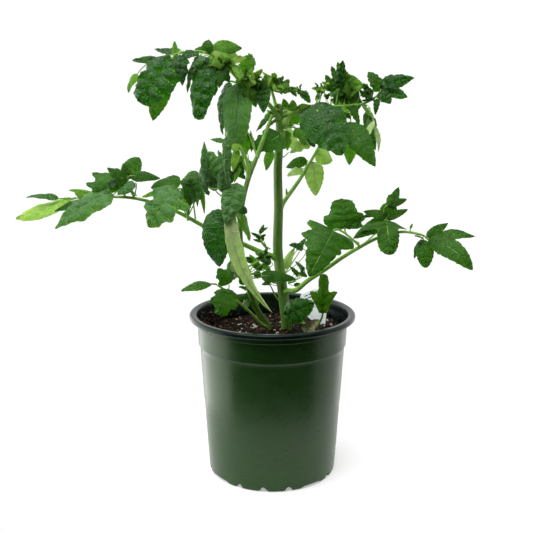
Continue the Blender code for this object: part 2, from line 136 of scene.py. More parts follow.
def leafSpine(node):
    # midrib curve, width and upper side of a leaflet, read from its CAD solid
    places, near = weldedPoints(node)
    ringSize = 8
    for tip in range(len(places)):
        if len(near[tip]) == ringSize:
            rings = ringsFrom(near, [tip])
            if all(len(ring) == ringSize for ring in rings[1:]):
                break
    rings.reverse()
    centres = []
    sides = []
    halves = []
    lifts = []
    for ring in rings[:-1]:
        corner = places[ring]
        gaps = np.linalg.norm(corner[:, None] - corner[None], axis=2)
        a, b = np.unravel_index(gaps.argmax(), gaps.shape)
        side = corner[b] - corner[a]
        if sides and np.dot(side, sides[-1]) < 0:
            side = -side
        share = (corner - (corner[a] + corner[b]) / 2) @ unit(side)
        middle = corner[np.argsort(np.abs(share))[:2]].mean(0)
        centres.append(middle)
        sides.append(unit(side))
        halves.append(np.linalg.norm(side) / 2)
        lifts.append((corner[a] + corner[b]) / 2 - middle)
    centres.append(places[rings[-1][0]])
    sides.append(sides[-1])
    return makeSpine(np.array(centres), np.array(sides), max(halves), lifts[int(np.argmax(halves))], 2)


def makeSpine(centres, sides, halfWidth, lift, bladeStart):
    steps = np.linalg.norm(np.diff(centres, axis=0), axis=1)
    along = np.concatenate([[0], np.cumsum(steps)]) / steps.sum()
    curve = np.polyfit(along, centres, 3)
    middle = along[len(along) // 2]
    heading = curveHeading(curve, middle)
    if np.dot(np.cross(heading, sides[len(along) // 2]), lift) < 0:
        sides = -sides
    return {"curve": curve, "sides": np.polyfit(along, sides, 2), "length": steps.sum(),
            "halfWidth": halfWidth, "neck": along[bladeStart]}


def curvePoint(curve, t):
    t = np.atleast_1d(t)[:, None]
    return sum(curve[k] * t ** (len(curve) - 1 - k) for k in range(len(curve)))


def curveHeading(curve, t):
    return unit(curvePoint(curve, np.asarray(t) + 0.01) - curvePoint(curve, np.asarray(t) - 0.01)).squeeze()


def spineFrames(spine, t):
    # place, heading, side and up at each fraction of the length
    heading = np.atleast_2d(curveHeading(spine["curve"], t))
    side = curvePoint(spine["sides"], t)
    side = unit(side - (side * heading).sum(1, keepdims=True) * heading)
    return curvePoint(spine["curve"], t), heading, side, np.cross(heading, side)


def makePiece(name, points, faces, materials, replaced=(), slot=None, faceMaterials=None, grid=None,
              sharpAngle=55):
    mesh = bpy.data.meshes.new(name)
    mesh.from_pydata([tuple(p) for p in points], [], faces)
    for material in materials:
        mesh.materials.append(material)
    if faceMaterials is not None:
        mesh.polygons.foreach_set("material_index", faceMaterials)
    if grid is not None:
        layer = mesh.uv_layers.new(name="leafGrid")
        layer.data.foreach_set("uv", np.asarray(grid, dtype=np.float32).ravel())
    mesh.shade_smooth()
    mesh.set_sharp_from_angle(angle=math.radians(sharpAngle))
    piece = bpy.data.objects.new(name, mesh)
    bpy.context.scene.collection.objects.link(piece)
    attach(piece, "root")
    if replaced:
        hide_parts(*replaced)
    return piece


def bandFaces(first, sides, bands, outward=True):
    # the faces between rings of corners that follow one another
    faces = []
    for k in range(bands):
        low = first + k * sides
        for i in range(sides):
            j = (i + 1) % sides
            face = (low + i, low + j, low + sides + j, low + sides + i)
            faces.append(face if outward else (face[0], face[3], face[2], face[1]))
    return faces


def tubeMesh(path, radii, sides, firstIndex=0, ribs=0.0):
    # closed round tube along a path, as points and faces
    path = np.asarray(path, dtype=float)
    heading = unit(np.gradient(path, axis=0))
    side = np.array(Vector(heading[0]).orthogonal().normalized())
    points = []
    angle = np.linspace(0, 2 * np.pi, sides, endpoint=False)
    for k in range(len(path)):
        side = unit(side - side.dot(heading[k]) * heading[k])
        up = np.cross(heading[k], side)
        reach = radii[k] * (1 + ribs * np.sin(angle * 5 + 2.0 * k / len(path)))
        ring = path[k] + reach[:, None] * (np.cos(angle)[:, None] * side + np.sin(angle)[:, None] * up)
        points.extend(ring)
    faces = bandFaces(firstIndex, sides, len(path) - 1)
    faces.append(tuple(firstIndex + i for i in reversed(range(sides))))
    last = firstIndex + (len(path) - 1) * sides
    faces.append(tuple(last + i for i in range(sides)))
    return points, faces


class NodeKit:
    # a node tree, with short names for the nodes that this script uses

    def __init__(self, tree):
        self.tree = tree

    def node(self, kind, **settings):
        made = self.tree.nodes.new(kind)
        for key, value in settings.items():
            setattr(made, key, value)
        return made

    def feed(self, socket, value):
        if isinstance(value, bpy.types.NodeSocket):
            self.tree.links.new(value, socket)
        else:
            socket.default_value = value

    def math(self, operation, *values):
        made = self.node("ShaderNodeMath", operation=operation)
        for socket, value in zip(made.inputs, values):
            self.feed(socket, value)
        return made.outputs[0]

    def remap(self, value, low, high, toLow=0.0, toHigh=1.0):
        made = self.node("ShaderNodeMapRange", interpolation_type="SMOOTHSTEP")
        for socket, amount in zip(made.inputs, (value, low, high, toLow, toHigh)):
            self.feed(socket, amount)
        return made.outputs[0]

    def mix(self, share, first, second):
        made = self.node("ShaderNodeMix", data_type="RGBA")
        self.feed(made.inputs[0], share)
        self.feed(made.inputs[6], first)
        self.feed(made.inputs[7], second)
        return made.outputs[2]

    def places(self, stretch=(1, 1, 1)):
        made = self.node("ShaderNodeMapping")
        made.inputs["Scale"].default_value = stretch
        self.tree.links.new(self.node("ShaderNodeTexCoord").outputs["Object"], made.inputs["Vector"])
        return made.outputs[0]

    def cloud(self, scale, detail=3.0, stretch=(1, 1, 1), rough=0.55):
        made = self.node("ShaderNodeTexNoise")
        made.inputs["Scale"].default_value = scale
        made.inputs["Detail"].default_value = detail
        made.inputs["Roughness"].default_value = rough
        self.tree.links.new(self.places(stretch), made.inputs["Vector"])
        return made.outputs["Fac"]

    def cells(self, scale):
        made = self.node("ShaderNodeTexVoronoi")
        made.inputs["Scale"].default_value = scale
        self.tree.links.new(self.places(), made.inputs["Vector"])
        return made.outputs["Distance"]

    def bump(self, height, distance, strength=1.0, before=None):
        made = self.node("ShaderNodeBump")
        made.inputs["Strength"].default_value = strength
        made.inputs["Distance"].default_value = distance
        self.feed(made.inputs["Height"], height)
        if before is not None:
            self.feed(made.inputs["Normal"], before)
        return made.outputs[0]


class Skin(NodeKit):
    # a material of one shader, with the node helpers

    def __init__(self, name, roughness, specular):
        self.material = bpy.data.materials.new(name)
        self.material.use_nodes = True
        super().__init__(self.material.node_tree)
        self.shader = self.tree.nodes["Principled BSDF"]
        self.set(("Roughness", roughness), ("Specular IOR Level", specular))

    def set(self, *values):
        for name, value in values:
            self.shader.inputs[name].default_value = value

    def finish(self, colour, roughness, normal):
        for name, value in (("Base Color", colour), ("Roughness", roughness), ("Normal", normal)):
            self.feed(self.shader.inputs[name], value)
        return self.material


def shade(colour, factor=1):
    return tuple(min(1.0, c * factor) for c in colour[:3]) + (1.0,)


# leaf finishes: dark green, light green, vein colour, roughness, relief, gloss and how quilted the blade is
leafSkins = {
    "deep": ((0.007, 0.046, 0.002), (0.022, 0.095, 0.008), (0.045, 0.145, 0.022), 0.32, 1.7, 0.46, 0.2),
    "mid": ((0.016, 0.074, 0.003), (0.042, 0.140, 0.010), (0.110, 0.240, 0.036), 0.42, 0.9, 0.22, 0.05),
    # painted sheen: this skin's lighter grey-green colours stand in for the bright room glancing off the leaf
    "grey": ((0.042, 0.135, 0.026), (0.100, 0.240, 0.070), (0.190, 0.340, 0.130), 0.36, 1.3, 0.46, 0.13),
    "lime": ((0.040, 0.125, 0.004), (0.100, 0.250, 0.018), (0.200, 0.370, 0.070), 0.44, 0.9, 0.22, 0.05),
    "fresh": ((0.090, 0.250, 0.012), (0.190, 0.400, 0.040), (0.300, 0.500, 0.100), 0.46, 0.8, 0.25, 0.05),
    "young": ((0.165, 0.335, 0.028), (0.345, 0.525, 0.095), (0.440, 0.600, 0.165), 0.48, 0.7, 0.25, 0.07),
    "under": ((0.370, 0.550, 0.190), (0.490, 0.660, 0.290), (0.600, 0.740, 0.400), 0.6, 0.35, 0.15, 0.035)}


leafFinish = {"sheen": (0.76, 1.0, 0.72, 1), "glow": 0.55, "glowColour": (0.7, 1.0, 0.3), "glowDepth": 0.0016,
              "veinShare": 0.62, "veinDepth": 0.00062, "webScale": 460, "webDepth": 0.55, "grain": 0.00012}


def leafSkin(name):
    dark, light, vein, roughness, relief, gloss, _ = leafSkins[name]
    skin = Skin("leaf_" + name, roughness, gloss)
    grid = skin.node("ShaderNodeAttribute", attribute_name="leafGrid").outputs["Vector"]
    parts = skin.node("ShaderNodeSeparateXYZ")
    skin.feed(parts.inputs[0], grid)
    fromMidrib = skin.math("ABSOLUTE", parts.outputs[0])
    offVein = skin.math("ABSOLUTE", skin.math("SUBTRACT", skin.math("FRACT", parts.outputs[1]), 0.5))
    midrib = skin.remap(fromMidrib, 0.012, 0.060, 1.0, 0.0)
    reach = skin.math("MULTIPLY_ADD", fromMidrib, -0.050, 0.075)     # side veins thin out toward the edge
    lateral = skin.remap(skin.math("DIVIDE", offVein, reach), 0.15, 1.0, 1.0, 0.0)
    slant = skin.math("MULTIPLY_ADD", fromMidrib, 7.0, skin.math("MULTIPLY", offVein, 3.4))
    minor = skin.math("ABSOLUTE", skin.math("SUBTRACT", skin.math("FRACT", slant), 0.5))
    minor = skin.remap(minor, 0.02, 0.22, 0.22, 0.0)
    veins = skin.math("MAXIMUM", skin.math("MAXIMUM", midrib, lateral), minor)
    patches = skin.math("ADD", skin.math("MULTIPLY", skin.cloud(38, 3), 0.6),
                        skin.math("MULTIPLY", skin.cloud(260, 4), 0.5))
    body = skin.mix(skin.remap(patches, 0.36, 0.74), shade(dark), shade(light))
    colour = skin.mix(skin.math("MULTIPLY", veins, leafFinish["veinShare"]), body, shade(vein))
    web = skin.math("MULTIPLY", skin.cells(leafFinish["webScale"]), leafFinish["webDepth"])
    sink = 1.0 if name == "under" else -1.0     # veins stand out on the underside
    height = skin.math("ADD", skin.math("MULTIPLY", veins, sink), web)
    normal = skin.bump(height, leafFinish["veinDepth"] * relief, 1.0)
    normal = skin.bump(skin.cloud(1500, 2), leafFinish["grain"], 0.5, normal)
    rough = skin.remap(skin.cloud(300, 3), 0.3, 0.7, roughness - 0.07, roughness + 0.12)
    skin.set(("Specular Tint", leafFinish["sheen"]), ("Subsurface Weight", leafFinish["glow"]),
             ("Subsurface Radius", leafFinish["glowColour"]), ("Subsurface Scale", leafFinish["glowDepth"]))
    return skin.finish(colour, rough, normal)


stemLook = {"green": (0.075, 0.190, 0.016), "pale": (0.170, 0.320, 0.055), "rough": 0.5}


def stemSkin(name, factor=1.0):
    skin = Skin(name, stemLook["rough"], 0.4)
    streaks = skin.cloud(900, 3, stretch=(1, 1, 0.05))
    patches = skin.cloud(60, 3)
    share = skin.remap(skin.math("ADD", skin.math("MULTIPLY", streaks, 0.6),
                                 skin.math("MULTIPLY", patches, 0.5)), 0.38, 0.72)
    colour = skin.mix(share, shade(stemLook["green"], factor), shade(stemLook["pale"], factor))
    normal = skin.bump(streaks, 0.00035, 0.8)
    normal = skin.bump(skin.cloud(2600, 2), 0.00015, 0.6, normal)
    rough = skin.remap(patches, 0.3, 0.7, 0.42, 0.62)
    return skin.finish(colour, rough, normal)


leafMaterials = {name: leafSkin(name) for name in leafSkins}
stemMaterial = stemSkin("stem_bark")
# young stalks are paler green, and their colour is doubled partly as painted light, standing in for light
# that the dim front of the room doesn't give them
youngStemWithPaintedLightMaterial = stemSkin("young_stem_with_painted_light", 2.0)
print("leaf and stem skins ready")


# blade outlines in hundredths: place along the blade and half width, from base to tip. Where there are two
# lists, the first is the left side.
outlines = {
    "ovate": "0 30, 6 70, 16 95, 28 100, 42 95, 58 78, 74 54, 88 28, 100 0",
    "slim": "0 30, 10 72, 28 98, 45 100, 65 80, 82 50, 94 20, 100 0",
    "wavy": "0 28, 7 78, 15 100, 22 78, 30 98, 38 88, 44 70, 52 84, 60 70, 66 54, 74 58, 84 34, "
            "93 16, 100 0",
    "lobed": "0 25, 6 70, 15 100, 24 98, 32 70, 38 66, 46 84, 54 80, 64 52, 76 42, 88 22, 100 0",
    "shouldered": "0 35, 8 78, 20 100, 32 100, 42 84, 50 80, 62 66, 78 40, 90 18, 100 0",
    "long": "0 30, 10 80, 20 96, 30 84, 38 76, 48 98, 56 90, 66 62, 80 42, 92 20, 100 0",
    "strap": "0 60, 10 84, 28 100, 42 95, 58 70, 74 42, 90 20, 100 0",
    "apron": "0 45, 6 80, 20 100, 45 100, 62 94, 76 88, 88 78, 96 52, 100 0",
    "palmate": "0 92, 5 100, 10 66, 16 84, 23 100, 30 68, 38 72, 46 56, 60 46, 80 26, 100 0 / 0 80, "
               "6 96, 12 80, 18 54, 26 64, 36 52, 50 46, 70 32, 86 18, 100 0",
    "rounded": "0 62, 5 92, 12 80, 20 100, 30 92, 38 66, 46 62, 60 60, 78 48, 92 28, 100 0",
    "full": "0 30, 8 80, 18 100, 27 86, 35 84, 45 94, 60 84, 72 66, 80 60, 90 44, 97 22, 100 0",
    "forked": "0 25, 12 45, 24 80, 30 100, 36 88, 44 44, 55 34, 72 38, 88 27, 100 0",
    "trefoil": "0 40, 8 76, 16 84, 24 70, 34 100, 46 98, 55 62, 64 54, 80 52, 92 34, 100 0",
    "threePart": "0 88, 4 100, 10 74, 17 44, 26 40, 38 44, 52 42, 70 34, 88 18, 100 0 / 0 62, 5 74, "
                 "12 60, 18 42, 26 38, 38 42, 52 40, 70 32, 88 17, 100 0"}

leafLook = {"thickness": 0.00032, "stalkRadius": 0.00075, "ribRadius": 0.00028, "veinEnd": 42, "teeth": 0.045,
            "crinkle": 0.25, "fullLength": 0.035, "smallLength": 0.020}

# which way a blade's upper side looks: forward, up, left or right
leafFacings = {"f": (0.0, -1.0, 0.35), "u": (0.0, -0.80, 0.70), "l": (-0.75, -0.65, 0.25),
               "r": (0.75, -0.65, 0.25)}


def outlineWidth(b, outline, left, shift):
    # smooth half width at each fraction b of the blade
    side = outlines[outline].split("/")[0 if left else -1]
    knots = np.array(side.replace(",", " ").split(), dtype=int) / 100
    fine = np.linspace(0, 1, 241)
    width = np.interp(fine, knots[::2], knots[1::2])
    padded = np.concatenate([np.full(3, width[0]), width, -width[-2:-5:-1]])
    width = np.convolve(padded, np.ones(7) / 7, "valid")
    width[-1] = 0.0
    width = width ** (1 - 0.14 * fine)
    width[-1] = 0.0
    teeth = leafLook["teeth"] * (0.6 * np.sin(fine * 47 + shift) + 0.4 * np.sin(fine * 83 + 2 * shift))
    return np.interp(b, fine, np.maximum(width * (1 + teeth), 0.0))


class LeafBatch:
    # gathers the points and faces of one or more leaves, then makes one piece of them

    def __init__(self):
        self.points = []
        self.faces = []
        self.skins = []
        self.grid = []
        self.names = []

    def skinIndex(self, name):
        if name not in self.names:
            self.names.append(name)
        return self.names.index(name)

    def addTube(self, path, radii, sides=7):
        points, faces = tubeMesh(path, radii, sides, firstIndex=len(self.points))
        self.points += points
        self.faces += faces
        self.skins += [self.skinIndex("stalk")] * len(faces)
        self.grid += [(0.0, 0.0)] * sum(len(face) for face in faces)

    def addBlade(self, frames, length, half, style, draw):
        # lobed blade with sunken side veins, quilted between them, and a rib underneath
        b, centre, heading, side, up = frames
        rows = len(b)
        columns = style["columns"]
        veins = style["sideVeins"]
        shifts = (draw.uniform(0, fullTurn), draw.uniform(0, fullTurn))
        offsets = (draw.uniform(-0.1, 0.1), draw.uniform(-0.2, 0.2))
        swell = [draw.uniform(0, fullTurn) for _ in range(4)]
        sweep = np.radians(style["veinStart"] + (leafLook["veinEnd"] - style["veinStart"]) * b ** 0.8)
        widths = [outlineWidth(b, style["outline"], left, shifts[left]) for left in (0, 1)]
        reachMost = max((w * np.sin(sweep)).max() for w in widths)
        share = np.linspace(-1, 1, 2 * columns + 1)
        crinkle = leafLook["crinkle"] * style["quilt"]
        top = np.zeros((rows, len(share), 3))
        for j, r in enumerate(share):
            left = 1 if r < 0 else 0
            width = half * widths[left] / reachMost
            a = abs(r)
            vein = b * veins + offsets[left] + a * 0.3
            offVein = np.abs((vein % 1.0) - 0.5) * 2
            lift = style["camber"] * width * a ** 2
            lift = lift + style["wave"] * half * a ** 2 * np.sin(b * 9 + swell[left]) * (1 - b ** 4)
            bulge = math.sin(math.pi * min(1, a * 0.85 + 0.12))
            lift = lift + style["quilt"] * half * (1 - offVein ** 2) * bulge
            lift = lift + 0.04 * half * np.sin(6 * b + swell[2]) * math.sin(2.4 * r + swell[3])
            for k in (0, 1):
                lift = lift + crinkle * half * a * np.sin((17 + 9 * k) * b + (5 + 2 * k) * r + swell[k])
            ahead = np.minimum(width * np.cos(sweep), 0.80 * (1 - b) * length)
            across = math.copysign(1, r) * width * np.sin(sweep)
            top[:, j] = centre + a * (ahead[:, None] * heading + across[:, None] * side) + up * lift[:, None]
        first = len(self.points)
        wide = len(share)
        count = rows * wide
        self.points += list(top.reshape(-1, 3))
        self.points += list((top - up[:, None] * leafLook["thickness"]).reshape(-1, 3))
        upper, lower = self.skinIndex(style["skin"]), self.skinIndex("under")
        if style["flip"]:
            upper, lower = lower, upper

        def corner(i, j):
            return (share[j], b[i] * veins + offsets[1 if j < columns else 0])

        for i in range(rows - 1):
            for j in range(wide - 1):
                square = [(i, j), (i, j + 1), (i + 1, j + 1), (i + 1, j)]
                for layer in (0, 1):
                    loop = square if layer else square[::-1]
                    self.faces.append(tuple(first + layer * count + p * wide + q for p, q in loop))
                    self.skins.append(lower if layer else upper)
                    self.grid += [corner(p, q) for p, q in loop]
        rim = [(i, 0) for i in range(rows)] + [(rows - 1, j) for j in range(1, wide)]
        rim += [(i, wide - 1) for i in range(rows - 2, -1, -1)] + [(0, j) for j in range(wide - 2, 0, -1)]
        for (i, j), (p, q) in zip(rim, rim[1:] + rim[:1]):
            low, high = first + i * wide + j, first + p * wide + q
            self.faces.append((low, high, count + high, count + low))
            self.skins.append(upper)
            self.grid += [corner(i, j)] * 4
        picks = np.unique(np.linspace(0, rows * 0.93, 12).astype(int))
        small = min(1.0, length / leafLook["fullLength"])
        radii = small * (leafLook["stalkRadius"] * (1 - b[picks]) ** 2 + leafLook["ribRadius"])
        self.addTube(centre[picks] - up[picks] * (leafLook["thickness"] * 0.4 + 0.8 * radii[:, None]), radii)

    def makePiece(self, name, replaced, slot, sharpAngle=60):
        materials = [leafMaterials[n] if n in leafMaterials else youngStemWithPaintedLightMaterial for n in self.names]
        return makePiece(name, self.points, self.faces, materials, replaced, slot, self.skins, self.grid,
                         sharpAngle)


baseStyle = {"outline": "ovate", "skin": "mid", "camber": -0.16, "wave": 0.09, "quilt": None, "flip": False,
             "widen": 1.0, "stations": 60, "columns": 8, "bow": 0.10, "sideVeins": 5, "veinStart": 100,
             "roll": 0.0, "swing": 0.0, "facing": None, "start": None}


def fillStyle(changes):
    style = {**baseStyle, **changes}
    if style["quilt"] is None:
        style["quilt"] = leafSkins[style["skin"]][-1]     # as its skin says
    return style


def bentFrames(base, tip, facing, style):
    # frames along a midrib that arches toward its upper side between base and tip
    b = np.linspace(0, 1, style["stations"]) ** 0.95
    length = np.linalg.norm(tip - base)
    heading = unit(tip - base)
    facing = unit(facing - np.dot(facing, heading) * heading)
    side = np.cross(facing, heading)
    facing = facing * math.cos(style["roll"]) + side * math.sin(style["roll"])
    side = np.cross(facing, heading)
    arch = 4 * style["bow"] * length
    bend = facing + side * style["swing"] / max(style["bow"], 0.01)
    centre = base + (tip - base) * b[:, None] + bend * (arch * b * (1 - b))[:, None]
    slope = arch * (1 - 2 * b) / length
    along = unit(heading + bend * slope[:, None])
    sides = unit(side - (along @ side)[:, None] * along)
    return (b, centre, along, sides, np.cross(along, sides)), length


def petiolePath(start, base, blade, count=9):
    # leaves the stalk, then turns into the line of the blade
    t = np.linspace(0, 1, count)[:, None]
    reach = np.linalg.norm(base - start)
    bend = base - unit(blade) * reach * 0.35
    return (1 - t) ** 2 * start + 2 * t * (1 - t) * bend + t ** 2 * base


def growLeaf(node, changes, name):
    # one leaflet of the frame: on its CAD midrib, or on a blade that is placed from its own root
    style = fillStyle(changes)
    draw = random.Random(node)
    batch = LeafBatch()
    spine = leafSpine(node)
    half = spine["halfWidth"] * style["widen"]
    if style["start"]:
        root = curvePoint(spine["curve"], 0.0)[0]
        base, tip = (root + np.array(style[end]) * mm for end in ("start", "tip"))
        up = spineFrames(spine, np.array([0.5]))[3]
        facing = np.array(leafFacings[style["facing"]]) if style["facing"] else up[0]
        frames, length = bentFrames(base, tip, facing, style)
        path = petiolePath(root, base, frames[1][3] - frames[1][0])
    else:
        b = np.linspace(0, 1, style["stations"]) ** 0.95
        neck = spine["neck"]
        frames, length = (b, *spineFrames(spine, neck + (1 - neck) * b)), spine["length"] * (1 - neck)
        path = curvePoint(spine["curve"], np.linspace(-0.02, neck, 9))
    batch.addBlade(frames, length, half, style, draw)
    thick = min(1.0, length / leafLook["fullLength"])
    batch.addTube(path, np.linspace(1.25, 1.0, len(path)) * leafLook["stalkRadius"] * thick * 1.2)
    batch.makePiece(name, (node,), slotOf[node])


def leaf(outline, skin="mid", widen=1.0, facing=None, start=None, tip=None, **more):
    return {"outline": outline, "skin": skin, "widen": widen, "facing": facing, "start": start, "tip": tip,
            **more}


# the frame's leaflets, stalk by stalk in their own order: outline, skin, width against the CAD leaflet's, the
# way it faces, then where its blade starts and ends in millimetres from the CAD leaflet's root
leaflets = {
    "low_left": [
        leaf("lobed", "grey", 0.98, "u", (-8, -4, 30), (-33, -26, -2)),
        leaf("ovate", "grey", 0.8),
        leaf("ovate", "mid", 0.58, None, (-9, 4, 17), (2, 10, 35)),
        leaf("lobed", "mid", 0.62),
        leaf("long", "grey", 0.92, "u", (6, -2, 6), (-40, -30, -23)),
        leaf("slim", "young", 0.95, sideVeins=6)],
    "low_right": [
        leaf("palmate", "mid", 1.12, "f", (-26, -6, 16), (-49, -32, -21)),
        leaf("rounded", "mid", 1.05, "f", (-14, 0, 14), (-16, 8, 41)),
        leaf("threePart", "mid", 1.15, "f", (0, 4, 14), (0, -22, -13), veinStart=74),
        leaf("lobed", "mid", 0.42, "f", (-5, 2, 12), (7, 8, 39)),
        leaf("slim", "mid", 0.46, "f", (3, -2, -3), (37, -30, -25), bow=0.14, swing=0.06),
        leaf("slim", "mid", 0.85, "f", (8, 0, -4), (9, -10, -28))],
    "pot_left": [
        leaf("slim", "mid", 0.58),
        leaf("trefoil", "mid", 1.0, "f", (-4, 2, 8), (-10, -10, -14)),
        leaf("lobed", "mid", 0.72, "f", (0, 2, 6), (-10, 6, 20))],
    "front_left": [
        leaf("ovate", "deep", 1.0, "f", (-6, -6, 5), (-9, -12, -44), quilt=0.05, swing=-0.06),
        leaf("ovate", "grey", 1.0, "f", (10, 2, 12), (0, -14, -21)),
        leaf("strap", "fresh", 0.72, "f", (-11, -24, 15), (26, -28, -73), flip=True, sideVeins=9,
             swing=-0.1, bow=0.05),
        leaf("wavy", "grey")],
    "top_left": [
        leaf("full", "deep", 0.86, "f", (-4, -2, -5), (-31, -24, -41), swing=0.06),
        leaf("ovate", "lime", 0.72, "f", (-19, 6, -17), (-33, 14, -58)),
        leaf("wavy", "deep", 0.52),
        leaf("full", "deep", 0.86, "f", (-3, -6, -4), (-10, -26, -54))],
    "crown": [
        leaf("ovate", "lime", 0.78, "f", (-9, 2, 7), (18, 4, 8)),
        leaf("wavy", "fresh", 0.62, None, (2, -4, 3), (13, -22, -13)),
        leaf("wavy", "lime", 0.86, "r", (-8, -2, 13), (-1, 4, 30)),
        leaf("ovate", "deep", 1.0, "f", (-2, -6, 17), (-1, -16, -9)),
        leaf("wavy", "mid", 0.98, "f", (3, -8, 3), (-24, -30, -8), swing=0.08),
        leaf("lobed", "fresh", 0.8, flip=True)],
    "right": [
        leaf("ovate", "fresh", 0.92, "f", (3, 2, 5), (5, -8, -27), flip=True),
        leaf("ovate", "fresh", 0.84, "f", (-3, 0, -3), (14, 6, -11), flip=True),
        leaf("ovate", "mid", 0.5, "f", (1, 2, 7), (-19, 8, -1))],
    "top_right": [
        leaf("ovate", "deep", 0.94, "f", (3, 0, 5), (28, -44, -39), quilt=0.14, sideVeins=6, camber=-0.3),
        leaf("ovate", "mid", 0.8, "f", (-4, -8, -14), (21, -34, -53)),
        leaf("wavy", "mid", 0.85),
        leaf("wavy", "deep", 0.65),
        leaf("ovate", "mid", 0.8),
        leaf("shouldered", "deep", 0.76, "f", (-4, 0, 0), (26, -10, 10), swing=0.04),
        leaf("wavy", "mid", 0.6, "f", (2, 0, 2), (-10, 8, 19))],
    "base_right": [
        leaf("forked", "lime", 1.0, "f", (4, -6, 13), (4, -12, 54), veinStart=60),
        leaf("ovate", "deep", 0.96, "f", (-10, -6, 6), (17, -18, 22))]}
leafStyles = {f"{stalk}_leaflet_{k}": style
              for stalk, row in leaflets.items() for k, style in enumerate(row, 1)}
leafStyles["curtain_leaflet"] = leaf("apron", "grey", 0.92, "f", (-15, -6, 11), (-18, -26, -43), quilt=0.045,
                                     camber=-0.3)
leafStyles["curtain_leaflet_behind"] = leaf("wavy", "deep", 0.8, "l", (-14, 2, 5), (-20, 4, -42))

slotOf = {part["node"]: part["material_slot"] for part in frame["record"]["subparts"]}
for node in sorted(frame["nodes"]):
    if "leaflet" in node:
        growLeaf(node, leafStyles[node], "leaf_" + node)
print("leaflets grown")


stalkSides = {"main_stem": 10, "side_stem": 8}
stalkParents = {"main_stem": None, "side_stem": None, "growing_tip": "main_stem",
                "low_left_stalk": "main_stem", "low_right_stalk": "main_stem", "pot_left_stalk": "side_stem",
                "front_left_stalk": "side_stem", "top_left_stalk": "main_stem",
                "top_right_stalk": "main_stem", "right_stalk": "main_stem", "base_right_stalk": "main_stem"}
stalks = {}
for node, parent in stalkParents.items():
    stalks[node] = Stalk(node, stalkSides.get(node, 6), stalks.get(parent))


